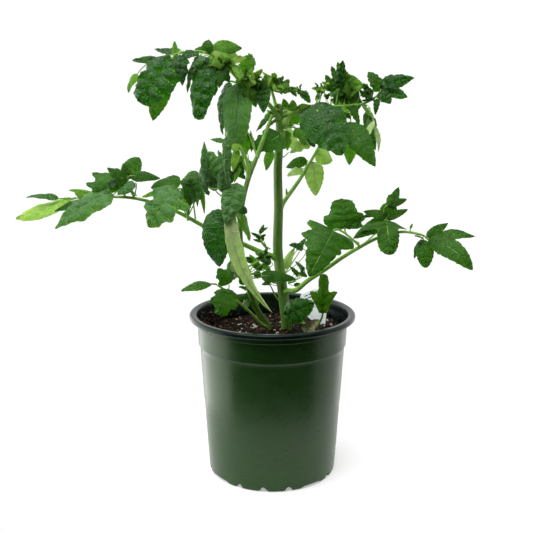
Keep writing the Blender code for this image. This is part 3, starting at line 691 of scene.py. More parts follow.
# small leaves and shoots. A number and a colon say how far along the stalk the next leaves grow. Each leaf
# has its blade's start and end in millimetres from there and its half width, then its outline, skin and
# facing where they aren't the usual wavy, mid and f.
leafSprays = {
    "left_branch_sprays": {"on": "low_left_stalk", "leaves": """
    0.46: -25 -2 24 -42 -6 20 3 slim fresh u, -7 4 34 -35 6 27 8 ovate u, -1 -4 36 4 -16 13 9 ovate r,
    11 2 41 -5 -2 33 5.5 ovate grey u, 11 2 39 16 -2 3 2.8 slim fresh, 10 3 37 9 3 9 2.6 slim grey,
    0.73: 1 -2 14 -14 -8 4 6 ovate grey u, -2 0 21 26 -6 19 5.6 ovate u, -7 4 16 -10 8 32 5 ovate,
    -6 0 15 -25 4 28 7 lobed u,
    0.84: 1 -2 4 -21 -6 13 10.5 lobed u, 12 6 13 -7 6 9 6 ovate deep u,
    0.87: -16 -14 -3 -41 -24 -10 4.6 ovate u,
    0.93: 1 0 4 -21 0 7 2.4 slim fresh,
    0.98: 4 -2 1 -5 0 5 3 ovate fresh,
    1.00: -16 -2 0 -45 -4 1 4 lobed grey u"""},
    "left_fold_leaves": {"on": "front_left_stalk", "leaves": """
    0.80: -19 8 28 -15 6 2 7 ovate deep l,
    0.99: -12 2 2 -15 0 41 5.6 grey,
    0.80: -9 2 7 -19 2 33 7.5 deep l, 2 -6 54 3 -9 8 4.4 grey,
    0.99: 3 0 14 -3 4 33 6 grey l, 1 -2 -3 4 -2 25 6 grey, 4 6 40 -10 6 42 3 grey u,
    0.80: 3 0 -4 -3 0 -4 3 ovate deep,
    0.39: 5 4 10 12 2 6 4 ovate deep, 5 6 6 14 0 -19 6.4 ovate fresh r, -13 0 1 -19 0 9 3.6 ovate grey"""},
    "side_stem_tuft": {"on": "side_stem", "leaves": """
    0.88: -10 2 26 -14 0 6 4.2 ovate young, -7 2 28 -17 0 28 4.4 ovate young u, -7 4 18 -4 4 3 2.6,
    -8 4 16 -15 4 1 2.8 deep, -5 4 20 -11 2 13 3 fresh, -6 4 12 -13 2 -4 2.4 slim fresh,
    0.91: 1 6 4 3 6 11 1.8 grey, 1 6 5 -1 6 11 1.6 grey,
    0.99: -10 14 21 -11 12 0 6.5 lobed fresh, -6 16 21 -5 14 4 5 lobed r""",
        "twigs": [(0.99, [(5, 4, 14), (10, 9, 27), (14, 12, 38)], 2.3),
                  (0.88, [(0, 0, 11), (-2, 0, 19), (-6, 0, 26), (-8, 0, 29)], 2.1),
                  (0.91, [(1, 4, 4), (1, 6, 10)], 0.9)]},
    "top_left_sprays": {"on": "top_left_stalk", "leaves": """
    1.00: -36 0 -18 -45 2 -34 4.5 ovate fresh l, -14 -2 -7 -40 0 -6 4.2 slim deep u,
    -2 4 -4 -3 6 11 2.8 slim fresh, 3 -3 -2 5 -12 -28 7.6 lobed deep,
    0.91: 8 -2 -2 -7 -6 -5 6.5 ovate deep u,
    0.80: 0 -8 -4 -11 -14 -15 5 grey u,
    0.74: 0 -4 -8 3 -12 -36 6.8 deep,
    0.80: -5 -10 -7 -14 -16 -35 4.5 deep l, 2 0 -1 4 4 11 5.5 ovate, 1 2 1 -9 6 3 3 ovate u,
    0.70: -3 -4 1 15 -8 0 4.5 fresh u,
    0.63: -3 -8 1 14 -14 -10 6.5 fresh u, -5 -10 0 6 -16 -18 6.5,
    0.70: -6 -8 -1 6 -14 -12 4.5 fresh u,
    0.63: 3 4 10 16 -2 -1 4 fresh u, -15 -12 3 -8 -18 -8 4.5 deep u, 1 -14 -4 -3 -20 -23 5.5,
    0.52: 0 -6 7 10 -12 -5 4.2 young u,
    0.74: 2 -2 2 11 -8 -7 3 young u,
    0.52: -4 -4 11 0 -10 -1 3.2 young"""},
    "crown_tufts": {"on": "top_left_stalk", "leaves": """
    0.40: -4 -4 -1 -2 -2 12 3 young, 3 -6 -1 4 -6 11 3.2 young, 7 -8 -3 11 -8 10 3.2 young u,
    0 -8 1 -7 -10 6 2.8 young u,
    0.33: 2 -8 0 12 -8 7 3.4 u, 4 -10 -1 1 -12 -11 4 lime, 2 -4 -3 6 -6 -17 4.4 ovate,
    0.40: -2 -6 1 5 -8 6 2.6 young u,
    0.28: 3 -8 4 -1 -6 16 3.4 young, 7 -8 2 11 -6 16 4 lime, 9 -6 2 16 -6 14 3 young u,
    0.20: 7 -4 6 6 -6 16 3.6,
    0.40: 4 -8 -5 0 -10 -13 3.6 lime,
    0.20: -4 -6 3 -12 -10 13 4 u"""},
    "growing_tip_tuft": {"on": "growing_tip", "leaves": """
    0.86: 1 -2 -5 -8 -4 8 3.4 young u, 2 -4 -4 -4 -6 5 2.8 young, 3 0 -4 4 0 7 3.2 young,
    4 -2 -5 13 -2 3 3.8 u, 7 -2 -3 19 -6 -9 6.2 lime u,
    0.55: 9 2 0 17 2 10 4.4, -1 -4 7 5 -8 -1 2.8 young, 11 0 -2 23 -2 2 2.8 lime, 18 2 -1 28 0 0 3.2 u,
    25 2 -1 33 0 -4 3.4 lime u, 29 2 -1 37 -4 -12 4.4, 20 2 -1 24 -2 -6 2.4 lime,
    0.14: 11 0 -6 8 0 4 3.8 ovate lime, 17 0 -8 17 0 3 4.4 ovate lime, 12 -2 -6 24 -4 -4 3.4 lime u,
    20 -2 -6 34 -4 -2 3.4 ovate lime u,
    0.01: 1 -4 -5 -19 -8 -23 4.8 l, 2 -4 -10 -8 -8 -20 3.8 lime l, -1 -4 -8 -9 -6 -3 3 fresh u,
    2 -4 -10 -2 -6 -1 3, 4 -4 -7 11 -6 -3 2.4 fresh u""",
        "twigs": [(0.55, [(9, 0, -2), (18, 0, 0), (27, 0, -2), (36, 0, -9)], 1),
                  (0.14, [(5, 0, -4), (11, 0, -5), (22, 0, -3)], 0.9),
                  (0.01, [(6, -6, -8), (12, -6, -6)], 0.8)]},
    "stem_front_leaves": {"on": "main_stem", "leaves": """
    0.96: 17 12 0 2 10 -15 8.5 lobed fresh,
    0.91: 4 12 -6 8 10 -25 7 lobed fresh, 16 18 -4 27 18 -21 8 lobed fresh r,
    30 20 -15 10 16 -28 6.8 lobed under, 28 14 -7 34 12 -22 5.6 ovate deep,
    0.85: -8 6 -11 -13 8 -31 5 ovate fresh,
    0.20: -20 -8 12 14 -12 9 6.6 ovate u,
    0.24: 3 6 7 14 8 28 4.6 ovate under, 22 8 27 8 6 31 4.2 deep u, 17 10 26 25 10 37 3.4 grey u,
    0.20: -12 2 2 -20 0 1 2.8 u, -12 2 2 -18 2 9 2.6""",
        "twigs": [(0.85, [(3, 4, -19), (9, 8, -13)], 0.8), (0.11, [(-8, -2, 8), (-15, 0, 22)], 1),
                  (0.24, [(8, 4, 8), (19, 8, 24)], 0.8)]},
    "low_left_axil": {"on": "low_left_stalk", "leaves": """
    0.03: -6 0 8 -14 0 10 1.8, -6 0 11 -16 0 17 2.2 u, -7 0 16 -3 0 25 2.2 grey, -7 0 17 1 0 22 2 grey u,
    -6 0 12 -1 0 15 1.8 u, -6 0 11 -12 0 15 1.8 young, -5 0 9 -3 0 12 1.5""",
        "twigs": [(0.01, [(-7, 0, 4), (-9, 0, 9), (-10, 0, 17)], 0.7)]},
    "low_left_back_leaves": {"on": "side_stem", "leaves": """
    0.40: 11 14 4 3 14 17 4.2 ovate fresh, 5 12 10 0 12 15 2.8 ovate deep, 23 20 8 9 16 13 4.6 deep u,
    22 22 10 14 18 5 3.2 grey u, 15 16 2 6 14 8 3.6 ovate deep, 16 18 6 23 16 1 3.4 fresh,
    13 14 -4 7 12 0 3.8 ovate deep, 0 8 -10 -10 8 7 6 lobed, 2 8 -8 1 10 7 4.4 lobed,
    -15 4 12 -11 2 -5 4.4 slim grey, -12 2 12 -9 0 -3 3.4 slim under,
    0.20: -5 8 14 -16 6 17 2.7 deep u, -6 0 13 -9 -4 -5 6.4 ovate l, -6 -2 10 -17 -6 8 3.6 u,
    1 2 5 -4 4 13 3.6 fresh, 4 4 2 2 4 14 3 slim fresh""",
        "twigs": [(0.4, [(5, 8, -5), (15, 14, -5)], 0.8)]},
    "low_right_axil": {"on": "low_right_stalk", "leaves": """
    0.02: 11 4 7 2 4 16 3 u, 12 4 10 19 2 6 3 u, 16 4 12 7 6 21 2.6 grey u, 6 0 -2 12 0 0 2.2 u,
    13 4 11 16 4 16 2""",
        "twigs": [(0.02, [(7, 2, 1), (12, 4, 9), (13, 4, 12)], 0.7)]},
    "low_right_sprays": {"on": "low_right_stalk", "leaves": """
    0.79: -2 2 26 15 0 32 3.8 slim, -3 0 14 16 -2 23 3.8 slim, -3 2 15 -24 4 20 5 ovate,
    -5 6 17 -27 8 13 3 slim deep u,
    1.00: 5 -2 -4 44 -10 1 7.2 ovate u, 3 2 -2 22 4 11 5.2 ovate u, -3 0 -4 -9 -2 -21 3 slim deep l,
    0.60: -13 4 17 3 8 27 5.5 u, 23 2 23 -8 -8 9 7.5 ovate u,
    0.92: -1 0 3 1 0 8 1.2 slim fresh""",
        "twigs": [(0.92, [(-1, 0, 2), (0, 0, 6)], 0.5)]},
    "top_right_sprays": {"on": "top_right_stalk", "leaves": """
    0.76: 0 4 0 -30 10 4 8,
    0.66: 7 2 6 -14 0 21 7 lime u, 10 6 15 0 8 29 5.2 ovate fresh, -2 0 12 10 -2 18 5.6 fresh u,
    0.56: -1 6 19 -8 6 38 4.6, 5 8 23 -2 10 42 4.6, 9 8 23 3 8 35 4.4 lime,
    0.47: 5 6 15 -4 6 30 5, 0 6 15 -7 6 24 2.8 lime,
    0.35: 3 4 13 -1 4 20 2.2 young, 3 4 15 5 4 22 2.2 young, 4 4 14 9 4 17 2.2 young,
    0.47: -3 4 7 0 4 13 2,
    0.56: -2 -2 0 10 -8 -7 3.6 ovate fresh u,
    0.66: 1 -2 0 8 -8 -18 4.4,
    0.56: 3 -2 -3 10 -6 -12 3.4,
    0.84: 2 0 5 -7 2 17 3.6, 4 -2 2 -9 -6 0 2.6 deep u,
    0.80: 0 2 6 -6 2 12 3,
    0.84: 2 2 8 -4 2 12 2.4 young,
    1.00: 2 -2 0 21 -10 -7 6.4 ovate deep u, -4 -4 -2 5 -12 -13 6.4 ovate deep,
    0.95: -3 -4 -5 -5 -8 -20 3.4 deep,
    0.76: 7 -4 -3 6 -6 -8 1.8 young, 9 -6 -12 2 -8 -25 3.8 ovate grey l, 8 -6 -11 14 -8 -21 3.2 deep r,
    10 -14 -15 2 -24 -51 4.2 under l, 12 -12 -20 15 -20 -44 3.6 under r,
    0.66: 1 4 -31 0 0 -57 7.4 ovate fresh""",
        "twigs": [(0.35, [(0, 4, 9), (3, 4, 14)], 0.7), (0.47, [(-2, 4, 6)], 0.6),
                  (0.56, [(2, 4, 11), (0, 6, 21)], 1), (0.76, [(4, -4, -7), (8, -6, -12)], 0.8)]},
    "right_sprays": {"on": "right_stalk", "leaves": """
    0.60: -8 0 -8 -24 0 -15 4.8 ovate under,
    0.19: -4 -2 -4 -5 -2 4 1.4 fresh""",
        "twigs": [(0.19, [(-4, 0, -3), (-5, -1, 3)], 0.5)]}}


def sprayLeaves(text):
    at = None
    for entry in text.split(","):
        words = entry.split()
        if words[0].endswith(":"):
            at = float(words.pop(0)[:-1])
        sizes = np.array(words[:7], dtype=float) * mm
        choices = ((outlines, "wavy"), (leafSkins, "mid"), (leafFacings, "f"))
        said = [next((word for word in words[7:] if word in known), usual) for known, usual in choices]
        yield at, sizes[:3], sizes[3:6], sizes[6], *said


# crowded young leaves: a stalk, how far along it, the middle from there and the spread in millimetres, how
# many, their least and greatest length, and their skins in turn
leafTufts = {
    "crown_left_tuft": ("top_left_stalk", 0.62, (-3, -5, -1), (15, 8, 9), 20, (8, 13),
                        "fresh lime young fresh lime"),
    "crown_middle_tuft": ("top_left_stalk", 0.38, (4, -4, 6), (11, 7, 6), 20, (6, 10),
                          "young fresh young lime"),
    "crown_right_tuft": ("growing_tip", 0.6, (5, -2, 4), (11, 7, 7), 18, (6, 10), "young lime fresh lime"),
    "arch_tuft": ("growing_tip", 0.6, (26, -1, -2), (9, 4, 3), 8, (5, 8), "mid fresh deep"),
    "right_top_tuft": ("top_right_stalk", 0.6, (2, 4, 17), (11, 8, 10), 14, (8, 13), "mid lime mid lime"),
    "right_sprig_tuft": ("top_right_stalk", 0.36, (5, 4, 17), (8, 5, 8), 12, (5, 9), "mid young lime fresh"),
    "right_end_tuft": ("top_right_stalk", 0.84, (-2, 0, 8), (6, 4, 6), 9, (5, 8), "mid grey deep"),
    "left_stem_tuft": ("side_stem", 0.97, (-18, 2, -12), (5, 4, 8), 9, (6, 9), "mid fresh deep"),
    "under_crown_tuft": ("growing_tip", 0.1, (-1, -4, -8), (7, 4, 6), 9, (6, 9), "fresh mid"),
    "low_back_tuft": ("side_stem", 0.44, (20, 14, 8), (9, 6, 7), 10, (6, 9), "mid deep grey")}


def smoothLine(points, count):
    # an even, rounded path through the given points
    points = np.asarray(points, dtype=float)
    steps = np.linalg.norm(np.diff(points, axis=0), axis=1)
    along = np.concatenate([[0], np.cumsum(steps)])
    fine = np.linspace(0, along[-1], count)
    path = np.stack([np.interp(fine, along, points[:, k]) for k in range(3)], axis=1)
    for _ in range(6):
        path[1:-1] = (path[:-2] + 2 * path[1:-1] + path[2:]) / 4
    return path, fine / along[-1]


def growTuft(name, stalk, at, middle, spread, count, lengths, skins):
    draw = random.Random(name)
    batch = LeafBatch()
    start = stalks[stalk].at(at)[0]
    middle = start + np.array(middle) * mm
    skins = skins.split()
    for k in range(count):
        way = unit(np.array([draw.gauss(0, 1), draw.gauss(-0.5, 0.7), draw.gauss(0.2, 0.8)]))
        base = middle + way * np.array(spread) * mm * draw.uniform(0.15, 0.75)
        length = draw.uniform(*lengths) * mm
        lean = unit(way + np.array([0, -0.2, draw.uniform(-0.8, 0.5)]))
        facing = np.array([draw.uniform(-0.6, 0.6), -1.0, draw.uniform(0.1, 1.1)])
        style = fillStyle({"outline": "wavy", "skin": skins[k % len(skins)], "stations": 18, "columns": 3,
                           "bow": draw.uniform(0.08, 0.25), "wave": 0.25, "sideVeins": 3,
                           "camber": draw.uniform(-0.5, 0.2), "swing": draw.uniform(-0.1, 0.1)})
        frames, reach = bentFrames(base, base + lean * length, facing, style)
        batch.addBlade(frames, reach, length * draw.uniform(0.26, 0.36), style, draw)
        path = petiolePath(middle, base, lean * length, 6)
        batch.addTube(path, np.linspace(0.0006, 0.0004, len(path)), 6)
    if np.linalg.norm(middle - start) > 0.004:     # a shoot carries the tuft
        path, share = smoothLine([start, start * 0.4 + middle * 0.6, middle], 12)
        batch.addTube(path, 0.0010 - 0.0003 * share, 8)
    batch.makePiece(name, (), "leaf_mid")


spraySlots = {"deep": "leaf_dark", "grey": "leaf_dark", "mid": "leaf_mid", "fresh": "leaf_pale",
              "young": "leaf_pale", "under": "leaf_pale"}


def growSpray(name, spray):
    stalk = stalks[spray["on"]]
    batch = LeafBatch()
    draw = random.Random(name)
    leaves = list(sprayLeaves(spray["leaves"]))
    for at, base, tip, half, outline, skin, facing in leaves:
        start = stalk.at(at)[0]
        base, tip = start + base, start + tip
        small = np.linalg.norm(tip - base) < leafLook["smallLength"]
        style = fillStyle({"outline": outline, "skin": skin, "stations": 22 if small else 34,
                           "columns": 4 if small else 5, "bow": draw.uniform(0.04, 0.16),
                           "roll": draw.uniform(-0.25, 0.25), "wave": 0.14, "sideVeins": 4})
        if skin == "under":
            style["skin"], style["flip"] = "fresh", True
        frames, length = bentFrames(base, tip, np.array(leafFacings[facing]), style)
        batch.addBlade(frames, length, half, style, draw)
        path = petiolePath(start, base, tip - base)
        thick = min(1.0, 0.35 + length / 0.040)
        batch.addTube(path, np.linspace(1.2, 0.9, len(path)) * leafLook["stalkRadius"] * thick * 0.8)
    for at, offsets, radius in spray.get("twigs", ()):
        start = stalk.at(at)[0]
        path, share = smoothLine([start] + [start + np.array(o) * mm for o in offsets], 24)
        batch.addTube(path, radius * mm * (1 - 0.4 * share), 9)
    batch.makePiece(name, (), spraySlots[leaves[0][5]])
    return len(leaves)


stemShape = {"droop": {"low_right_stalk": 0.008, "low_left_stalk": 0.006}, "girth": {"side_stem": 0.86},
             "ribs": 0.035, "buried": 0.010, "socket": 0.004, "flareLength": 0.006}


def growStem(node):
    stalk = stalks[node]
    points = [np.array(p) for p in stalk.points]
    for point, share in zip(points, stalk.along):
        point[2] -= stemShape["droop"].get(node, 0) * max(0.0, 1 - share / 0.30) ** 2
    if stalk.parent is None:
        points.insert(0, points[0] - np.array([0, 0, stemShape["buried"]]))     # goes down into the mix
    else:
        nearest = stalk.parent.line[np.linalg.norm(stalk.parent.line - points[0], axis=1).argmin()]
        # grows out of its parent, from a little below
        points.insert(0, nearest * 0.6 + points[0] * 0.4 - np.array([0, 0, stemShape["socket"]]))
    path, share = smoothLine(points, 90 if stalk.parent is None else 60)
    radii = np.array([stalk.radius(s) for s in share])
    flare = 0.30 if stalk.parent is not None else 0.10
    flare = 1 + flare * np.exp(-(share * stalk.length / stemShape["flareLength"]) ** 2)
    radii = radii * stemShape["girth"].get(node, 1.0) * flare
    tip = 1 - 0.55 * np.clip((share - 0.97) / 0.03, 0, 1) ** 2
    points, faces = tubeMesh(path, radii * tip, 20, ribs=stemShape["ribs"])
    bark = stemMaterial if stalk.parent is None else youngStemWithPaintedLightMaterial
    makePiece("green_" + node, points, faces, [bark], (node,), "stem_green", sharpAngle=80)


for node in stalks:
    growStem(node)
print("stems grown, with", sum([growSpray(*spray) for spray in leafSprays.items()]), "small leaves")
for name, tuft in leafTufts.items():
    growTuft(name, *tuft)
print("young leaf tufts grown")


potLook = {"green": (0.012, 0.046, 0.007), "worn": (0.018, 0.058, 0.011), "black": (0.002, 0.007, 0.005),
           "grey": (0.006, 0.014, 0.010), "sheen": (0.86, 1.0, 0.80), "rimSheen": (0.42, 0.60, 0.50),
           "rough": 0.28, "gloss": 0.40, "segments": 200, "wall": 0.0014, "foot": 0.776, "shoulder": 0.8727,
           "shoulderHeight": 0.126, "bulge": 0.92, "footBevel": 0.0014, "floorHeight": 0.0085}
potLow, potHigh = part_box("pot")
potHeight = potHigh.z
rimRadius = potHigh.x
baseRadius = rimRadius * potLook["foot"]


def wallRadius(z):
    rise = min(1.0, z / potLook["shoulderHeight"]) ** potLook["bulge"]
    return baseRadius + (rimRadius * potLook["shoulder"] - baseRadius) * rise


def arcPoints(centre, radius, start, end, count):
    return [(centre[0] + radius * math.cos(math.radians(a)), centre[1] + radius * math.sin(math.radians(a)))
            for a in np.linspace(start, end, count)]


def potProfile():
    # half section of the pot, up the outside and down the inside
    rim, bevel, shoulder = rimRadius, potLook["footBevel"], potLook["shoulderHeight"]
    outside = [(baseRadius * share, 0.0) for share in (0.0, 0.5, 0.80, 0.88, 0.94)]
    outside += arcPoints((baseRadius - bevel, bevel), bevel, -90, 0, 5)
    outside += [(wallRadius(z), z) for z in (0.0024, 0.0036, 0.0050, 0.0062, 0.009, 0.014)]
    outside += [(wallRadius(z), z) for z in np.linspace(0.022, shoulder, 14)]
    outside += [(0.07215, 0.1312), (0.0724, 0.1316)] + arcPoints((0.0730, 0.1324), 0.0007, -60, 20, 4)
    outside += [(0.0741, 0.142), (0.0744, 0.1512), (0.0747, 0.1515)]
    outside += arcPoints((0.0751, 0.1523), 0.0006, -60, 20, 4) + [(0.0759, 0.1568), (0.0765, 0.1573)]
    outside += [(rim - 0.0034, 0.15735)] + arcPoints((rim - 0.0019, potHeight - 0.0033), 0.0019, -80, 10, 6)
    outside += arcPoints((rim - 0.0026, potHeight - 0.0026), 0.0026, 20, 90, 6)
    outside += [(rim - 0.0045, potHeight - 0.0002)]
    outside += arcPoints((rim - 0.0055, potHeight - 0.0022), 0.0018, 90, 170, 5)
    inside = [(0.0744, 0.1560), (0.0742, 0.1524), (0.0730, 0.1500), (0.0726, 0.142), (0.0722, 0.1325)]
    inside += [(0.0708, 0.1300)]
    inside += [(wallRadius(z) - potLook["wall"], z) for z in (shoulder, 0.09, 0.05, 0.012)]
    inside += [(baseRadius - 0.004, potLook["floorHeight"]), (0.0, potLook["floorHeight"])]
    return outside + inside


def footHeight(angle):
    # how far the pot's bottom edge is cut away: broad shallow scallops with drain notches between them
    height = 0.0
    for k in range(16):
        turn = 37 + 90 * (k // 4)
        offset = 22.5 * (k % 4)
        width, depth = (0.007, 0.0045) if k % 4 else (0.026, 0.0026)
        away = (math.degrees(angle) - turn - offset + 180) % 360 - 180
        span = abs(math.radians(away)) * baseRadius / (width / 2)
        if span < 1:
            height = max(height, depth * (1 - span ** 4))
    return height


def potSkin(name, colour, worn, sheen):
    skin = Skin(name, potLook["rough"], potLook["gloss"])
    skin.set(("Specular Tint", shade(sheen)))
    scuffs = skin.cloud(55, 5, rough=0.7)
    tone = skin.mix(skin.remap(scuffs, 0.45, 0.75), shade(colour), shade(worn))
    normal = skin.bump(skin.cloud(1400, 3), 0.00003, 0.3)
    normal = skin.bump(skin.cloud(26, 2, stretch=(1, 1, 0.25)), 0.0003, 0.12, normal)
    rough = skin.remap(scuffs, 0.25, 0.8, potLook["rough"] - 0.02, potLook["rough"] + 0.05)
    return skin.finish(tone, rough, normal)


def joinAxis(points, faces, count):
    # the profile's first and last points lie on the axis, so all turns share them
    same = {i: 0 if i % count == 0 else count - 1 for i in range(len(points)) if i % count in (0, count - 1)}
    used = sorted({same.get(i, i) for face in faces for i in face})
    place = {old: new for new, old in enumerate(used)}
    joined = [tuple(dict.fromkeys(place[same.get(i, i)] for i in face)) for face in faces]
    return [points[i] for i in used], joined


def makePot():
    profile = potProfile()
    segments = potLook["segments"]
    points = []
    for k in range(segments):
        angle = 2 * math.pi * k / segments
        foot = footHeight(angle)
        for radius, z in profile:
            if radius > baseRadius * 0.86 and z < 0.0062:
                z = max(z, foot * min(1.0, (radius - baseRadius * 0.86) / (baseRadius * 0.10)))
            points.append((radius * math.sin(angle), -radius * math.cos(angle), z))
    count = len(profile)
    faces = []
    for k in range(segments):
        near, far = k * count, (k + 1) % segments * count
        faces += [(near + i, far + i, far + i + 1, near + i + 1) for i in range(count - 1)]
    plastic = potSkin("pot_green_plastic", potLook["green"], potLook["worn"], potLook["sheen"])
    black = potSkin("pot_black_plastic", potLook["black"], potLook["grey"], potLook["rimSheen"])
    collar = next(i for i, (_, z) in enumerate(profile) if z > 0.1560)
    skins = [1 if i % (count - 1) >= collar else 0 for i in range(len(faces))]
    makePiece("nursery_pot", *joinAxis(points, faces, count), [plastic, black], ("pot",), "pot_green", skins,
              sharpAngle=38)


makePot()
print("pot turned")


soilLook = {"rings": 60, "segments": 150, "hollow": 0.005, "drop": 0.0018, "depth": 0.012}
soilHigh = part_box("soil")[1]
soilRadius = soilHigh.x
soilTop = soilHigh.z - soilLook["drop"]


def soilHeight(x, y):
    wave = noise.fractal(Vector((x * 38, y * 38, 3.1)), 1.0, 2.0, 3)
    fine = noise.fractal(Vector((x * 260, y * 260, 7.7)), 1.0, 2.0, 3)
    edge = max(0.0, math.hypot(x, y) / soilRadius - 0.86) / 0.14
    hollow = max(0.0, min(1.0, (-x - 0.004 + 0.35 * y) / 0.030)) * soilLook["hollow"]
    for bark in ("main_stem", "side_stem"):
        away = math.dist((x, y), stalks[bark].points[0][:2])
        edge = max(edge, 1.25 * math.exp(-(away / 0.010) ** 2))
    return soilTop + 0.0016 * wave + 0.0009 * fine + 0.0020 * edge ** 2 - hollow


def soilSkin(name, dark, light, scale, roughness=0.95):
    skin = Skin(name, roughness, 0.25)
    colour = skin.mix(skin.remap(skin.cloud(scale, 5, rough=0.7), 0.36, 0.66), shade(dark), shade(light))
    normal = skin.bump(skin.cloud(scale * 3, 5, rough=0.75), 0.0008, 1.0)
    rough = skin.remap(skin.cloud(scale * 2, 3), 0.3, 0.7, roughness - 0.12, roughness)
    return skin.finish(colour, rough, normal)


def makeSoil():
    rings, segments = soilLook["rings"], soilLook["segments"]
    turns = [2 * math.pi * i / segments for i in range(segments)]
    points = [(0, 0, soilHeight(0, 0))]
    for k in range(1, rings + 1):
        radius = soilRadius * k / rings
        for x, y in ((radius * math.cos(turn), radius * math.sin(turn)) for turn in turns):
            points.append((x, y, soilHeight(x, y)))
    foot = soilRadius - 0.002
    points += [(foot * math.cos(turn), foot * math.sin(turn), soilTop - soilLook["depth"]) for turn in turns]
    faces = [(0, 1 + i, 1 + (i + 1) % segments) for i in range(segments)]
    faces += bandFaces(1, segments, rings, outward=False)
    bottom = 1 + rings * segments
    faces.append(tuple(bottom + i for i in reversed(range(segments))))
    skin = soilSkin("potting_mix", (0.004, 0.0025, 0.002), (0.034, 0.018, 0.011), 420)
    makePiece("potting_mix", points, faces, [skin], ("soil",), "soil_brown", sharpAngle=70)


def icosahedron():
    golden = (1 + 5 ** 0.5) / 2
    shape = []
    for a, b in ((1, golden), (-1, golden), (1, -golden), (-1, -golden)):
        shape += [(0, a, b), (a, b, 0), (b, 0, a)]
    points = np.array(shape)
    near = np.linalg.norm(points[:, None] - points[None], axis=2) < 2.1     # neighbours are 2 apart
    faces = []
    for i, j, k in itertools.combinations(range(12), 3):
        if near[i, j] and near[j, k] and near[i, k]:
            outward = np.dot(np.cross(points[j] - points[i], points[k] - points[i]), points[i]) > 0
            faces.append((i, j, k) if outward else (i, k, j))
    return points, faces


grainCorners, grainFaces = icosahedron()


def lump(draw, size, squash):
    # an uneven grain: an icosahedron pushed in and out
    points = unit(grainCorners) * np.array([draw.uniform(0.7, 1.25) for _ in range(12)])[:, None]
    points = points * np.array([size * draw.uniform(0.8, 1.3), size * draw.uniform(0.6, 1.0), size * squash])
    turn = Matrix.Rotation(draw.uniform(0, fullTurn), 3, "Z")
    tilt = Matrix.Rotation(draw.uniform(-0.6, 0.6), 3, "X")
    return points @ np.array(turn @ tilt).T


def scatterGrains(name, count, low, high, squash, skin, seed, cling, clump):
    # grains lie on the mix; a share of them cling to the pot's inner wall, mostly on its left
    draw = random.Random(seed)
    points = []
    faces = []
    for _ in range(count):
        size = draw.uniform(low, high) * draw.uniform(0.6, 1.0)
        angle = draw.uniform(0, 2 * math.pi)
        if draw.random() < cling:
            angle = draw.gauss(3.05, 0.35) if draw.random() < 0.7 else angle
            radius = soilRadius - 0.0010
            z = soilTop + draw.uniform(-0.004, 0.018) * draw.random()
        else:
            radius = (soilRadius - size * 1.5) * math.sqrt(draw.random())
            z = None
        x, y = radius * math.cos(angle), radius * math.sin(angle)
        if clump and noise.noise(Vector((x * 70, y * 70, 1.3))) + 4 * x < clump * draw.random():
            continue
        if z is None:
            z = soilHeight(x, y) + size * 0.25
        first = len(points)
        points.extend(lump(draw, size, squash) + np.array([x, y, z]))
        faces.extend(tuple(first + i for i in face) for face in grainFaces)
    makePiece(name, points, faces, [skin], (), "soil_brown", sharpAngle=25)


# grains: how many, least and greatest size, flatness, dark and light colour, fineness of the pattern, seed,
# the share that clings to the pot's wall and how clumped the rest lie
grains = {
    "peat_crumbs": (2300, 0.0007, 0.0026, 0.8, "peat_brown", (0.003, 0.0018, 0.0014), (0.030, 0.016, 0.010),
                    300, 11, 0.12, 0.0),
    "bark_crumbs": (766, 0.0008, 0.0024, 0.8, "bark_red", (0.050, 0.022, 0.012), (0.190, 0.095, 0.055),
                    300, 13, 0.16, 0.0),
    "bark_chips": (170, 0.0014, 0.0034, 0.35, "bark_tan", (0.040, 0.020, 0.011), (0.200, 0.120, 0.070),
                   240, 23, 0.08, 0.0),
    "perlite_grains": (330, 0.0008, 0.0023, 0.85, "perlite_white", (0.520, 0.480, 0.380),
                       (0.880, 0.850, 0.760), 500, 37, 0.02, 0.12)}
makeSoil()
for name, (count, low, high, squash, finish, dark, light, fine, seed, cling, clump) in grains.items():
    skin = soilSkin(finish, dark, light, fine, 0.9 if name == "perlite_grains" else 0.95)
    scatterGrains(name, count, low, high, squash, skin, seed, cling, clump)
print("potting mix filled")


tagLook = {"white": (0.90, 0.92, 0.95), "ink": (0.05, 0.07, 0.09), "corner": 0.005, "thickness": 0.0008,
           "glow": 0.30, "gap": (0.0004, 0.0010),
           # rows of marks: how far below the top, how tall, and their greatest width
           "rows": ((0.0030, 0.0010, 0.0050), (0.0058, 0.0011, 0.0060), (0.0098, 0.0004, 0.0018),
                    (0.0120, 0.0004, 0.0022), (0.0145, 0.0004, 0.0016), (0.0170, 0.0005, 0.0026))}


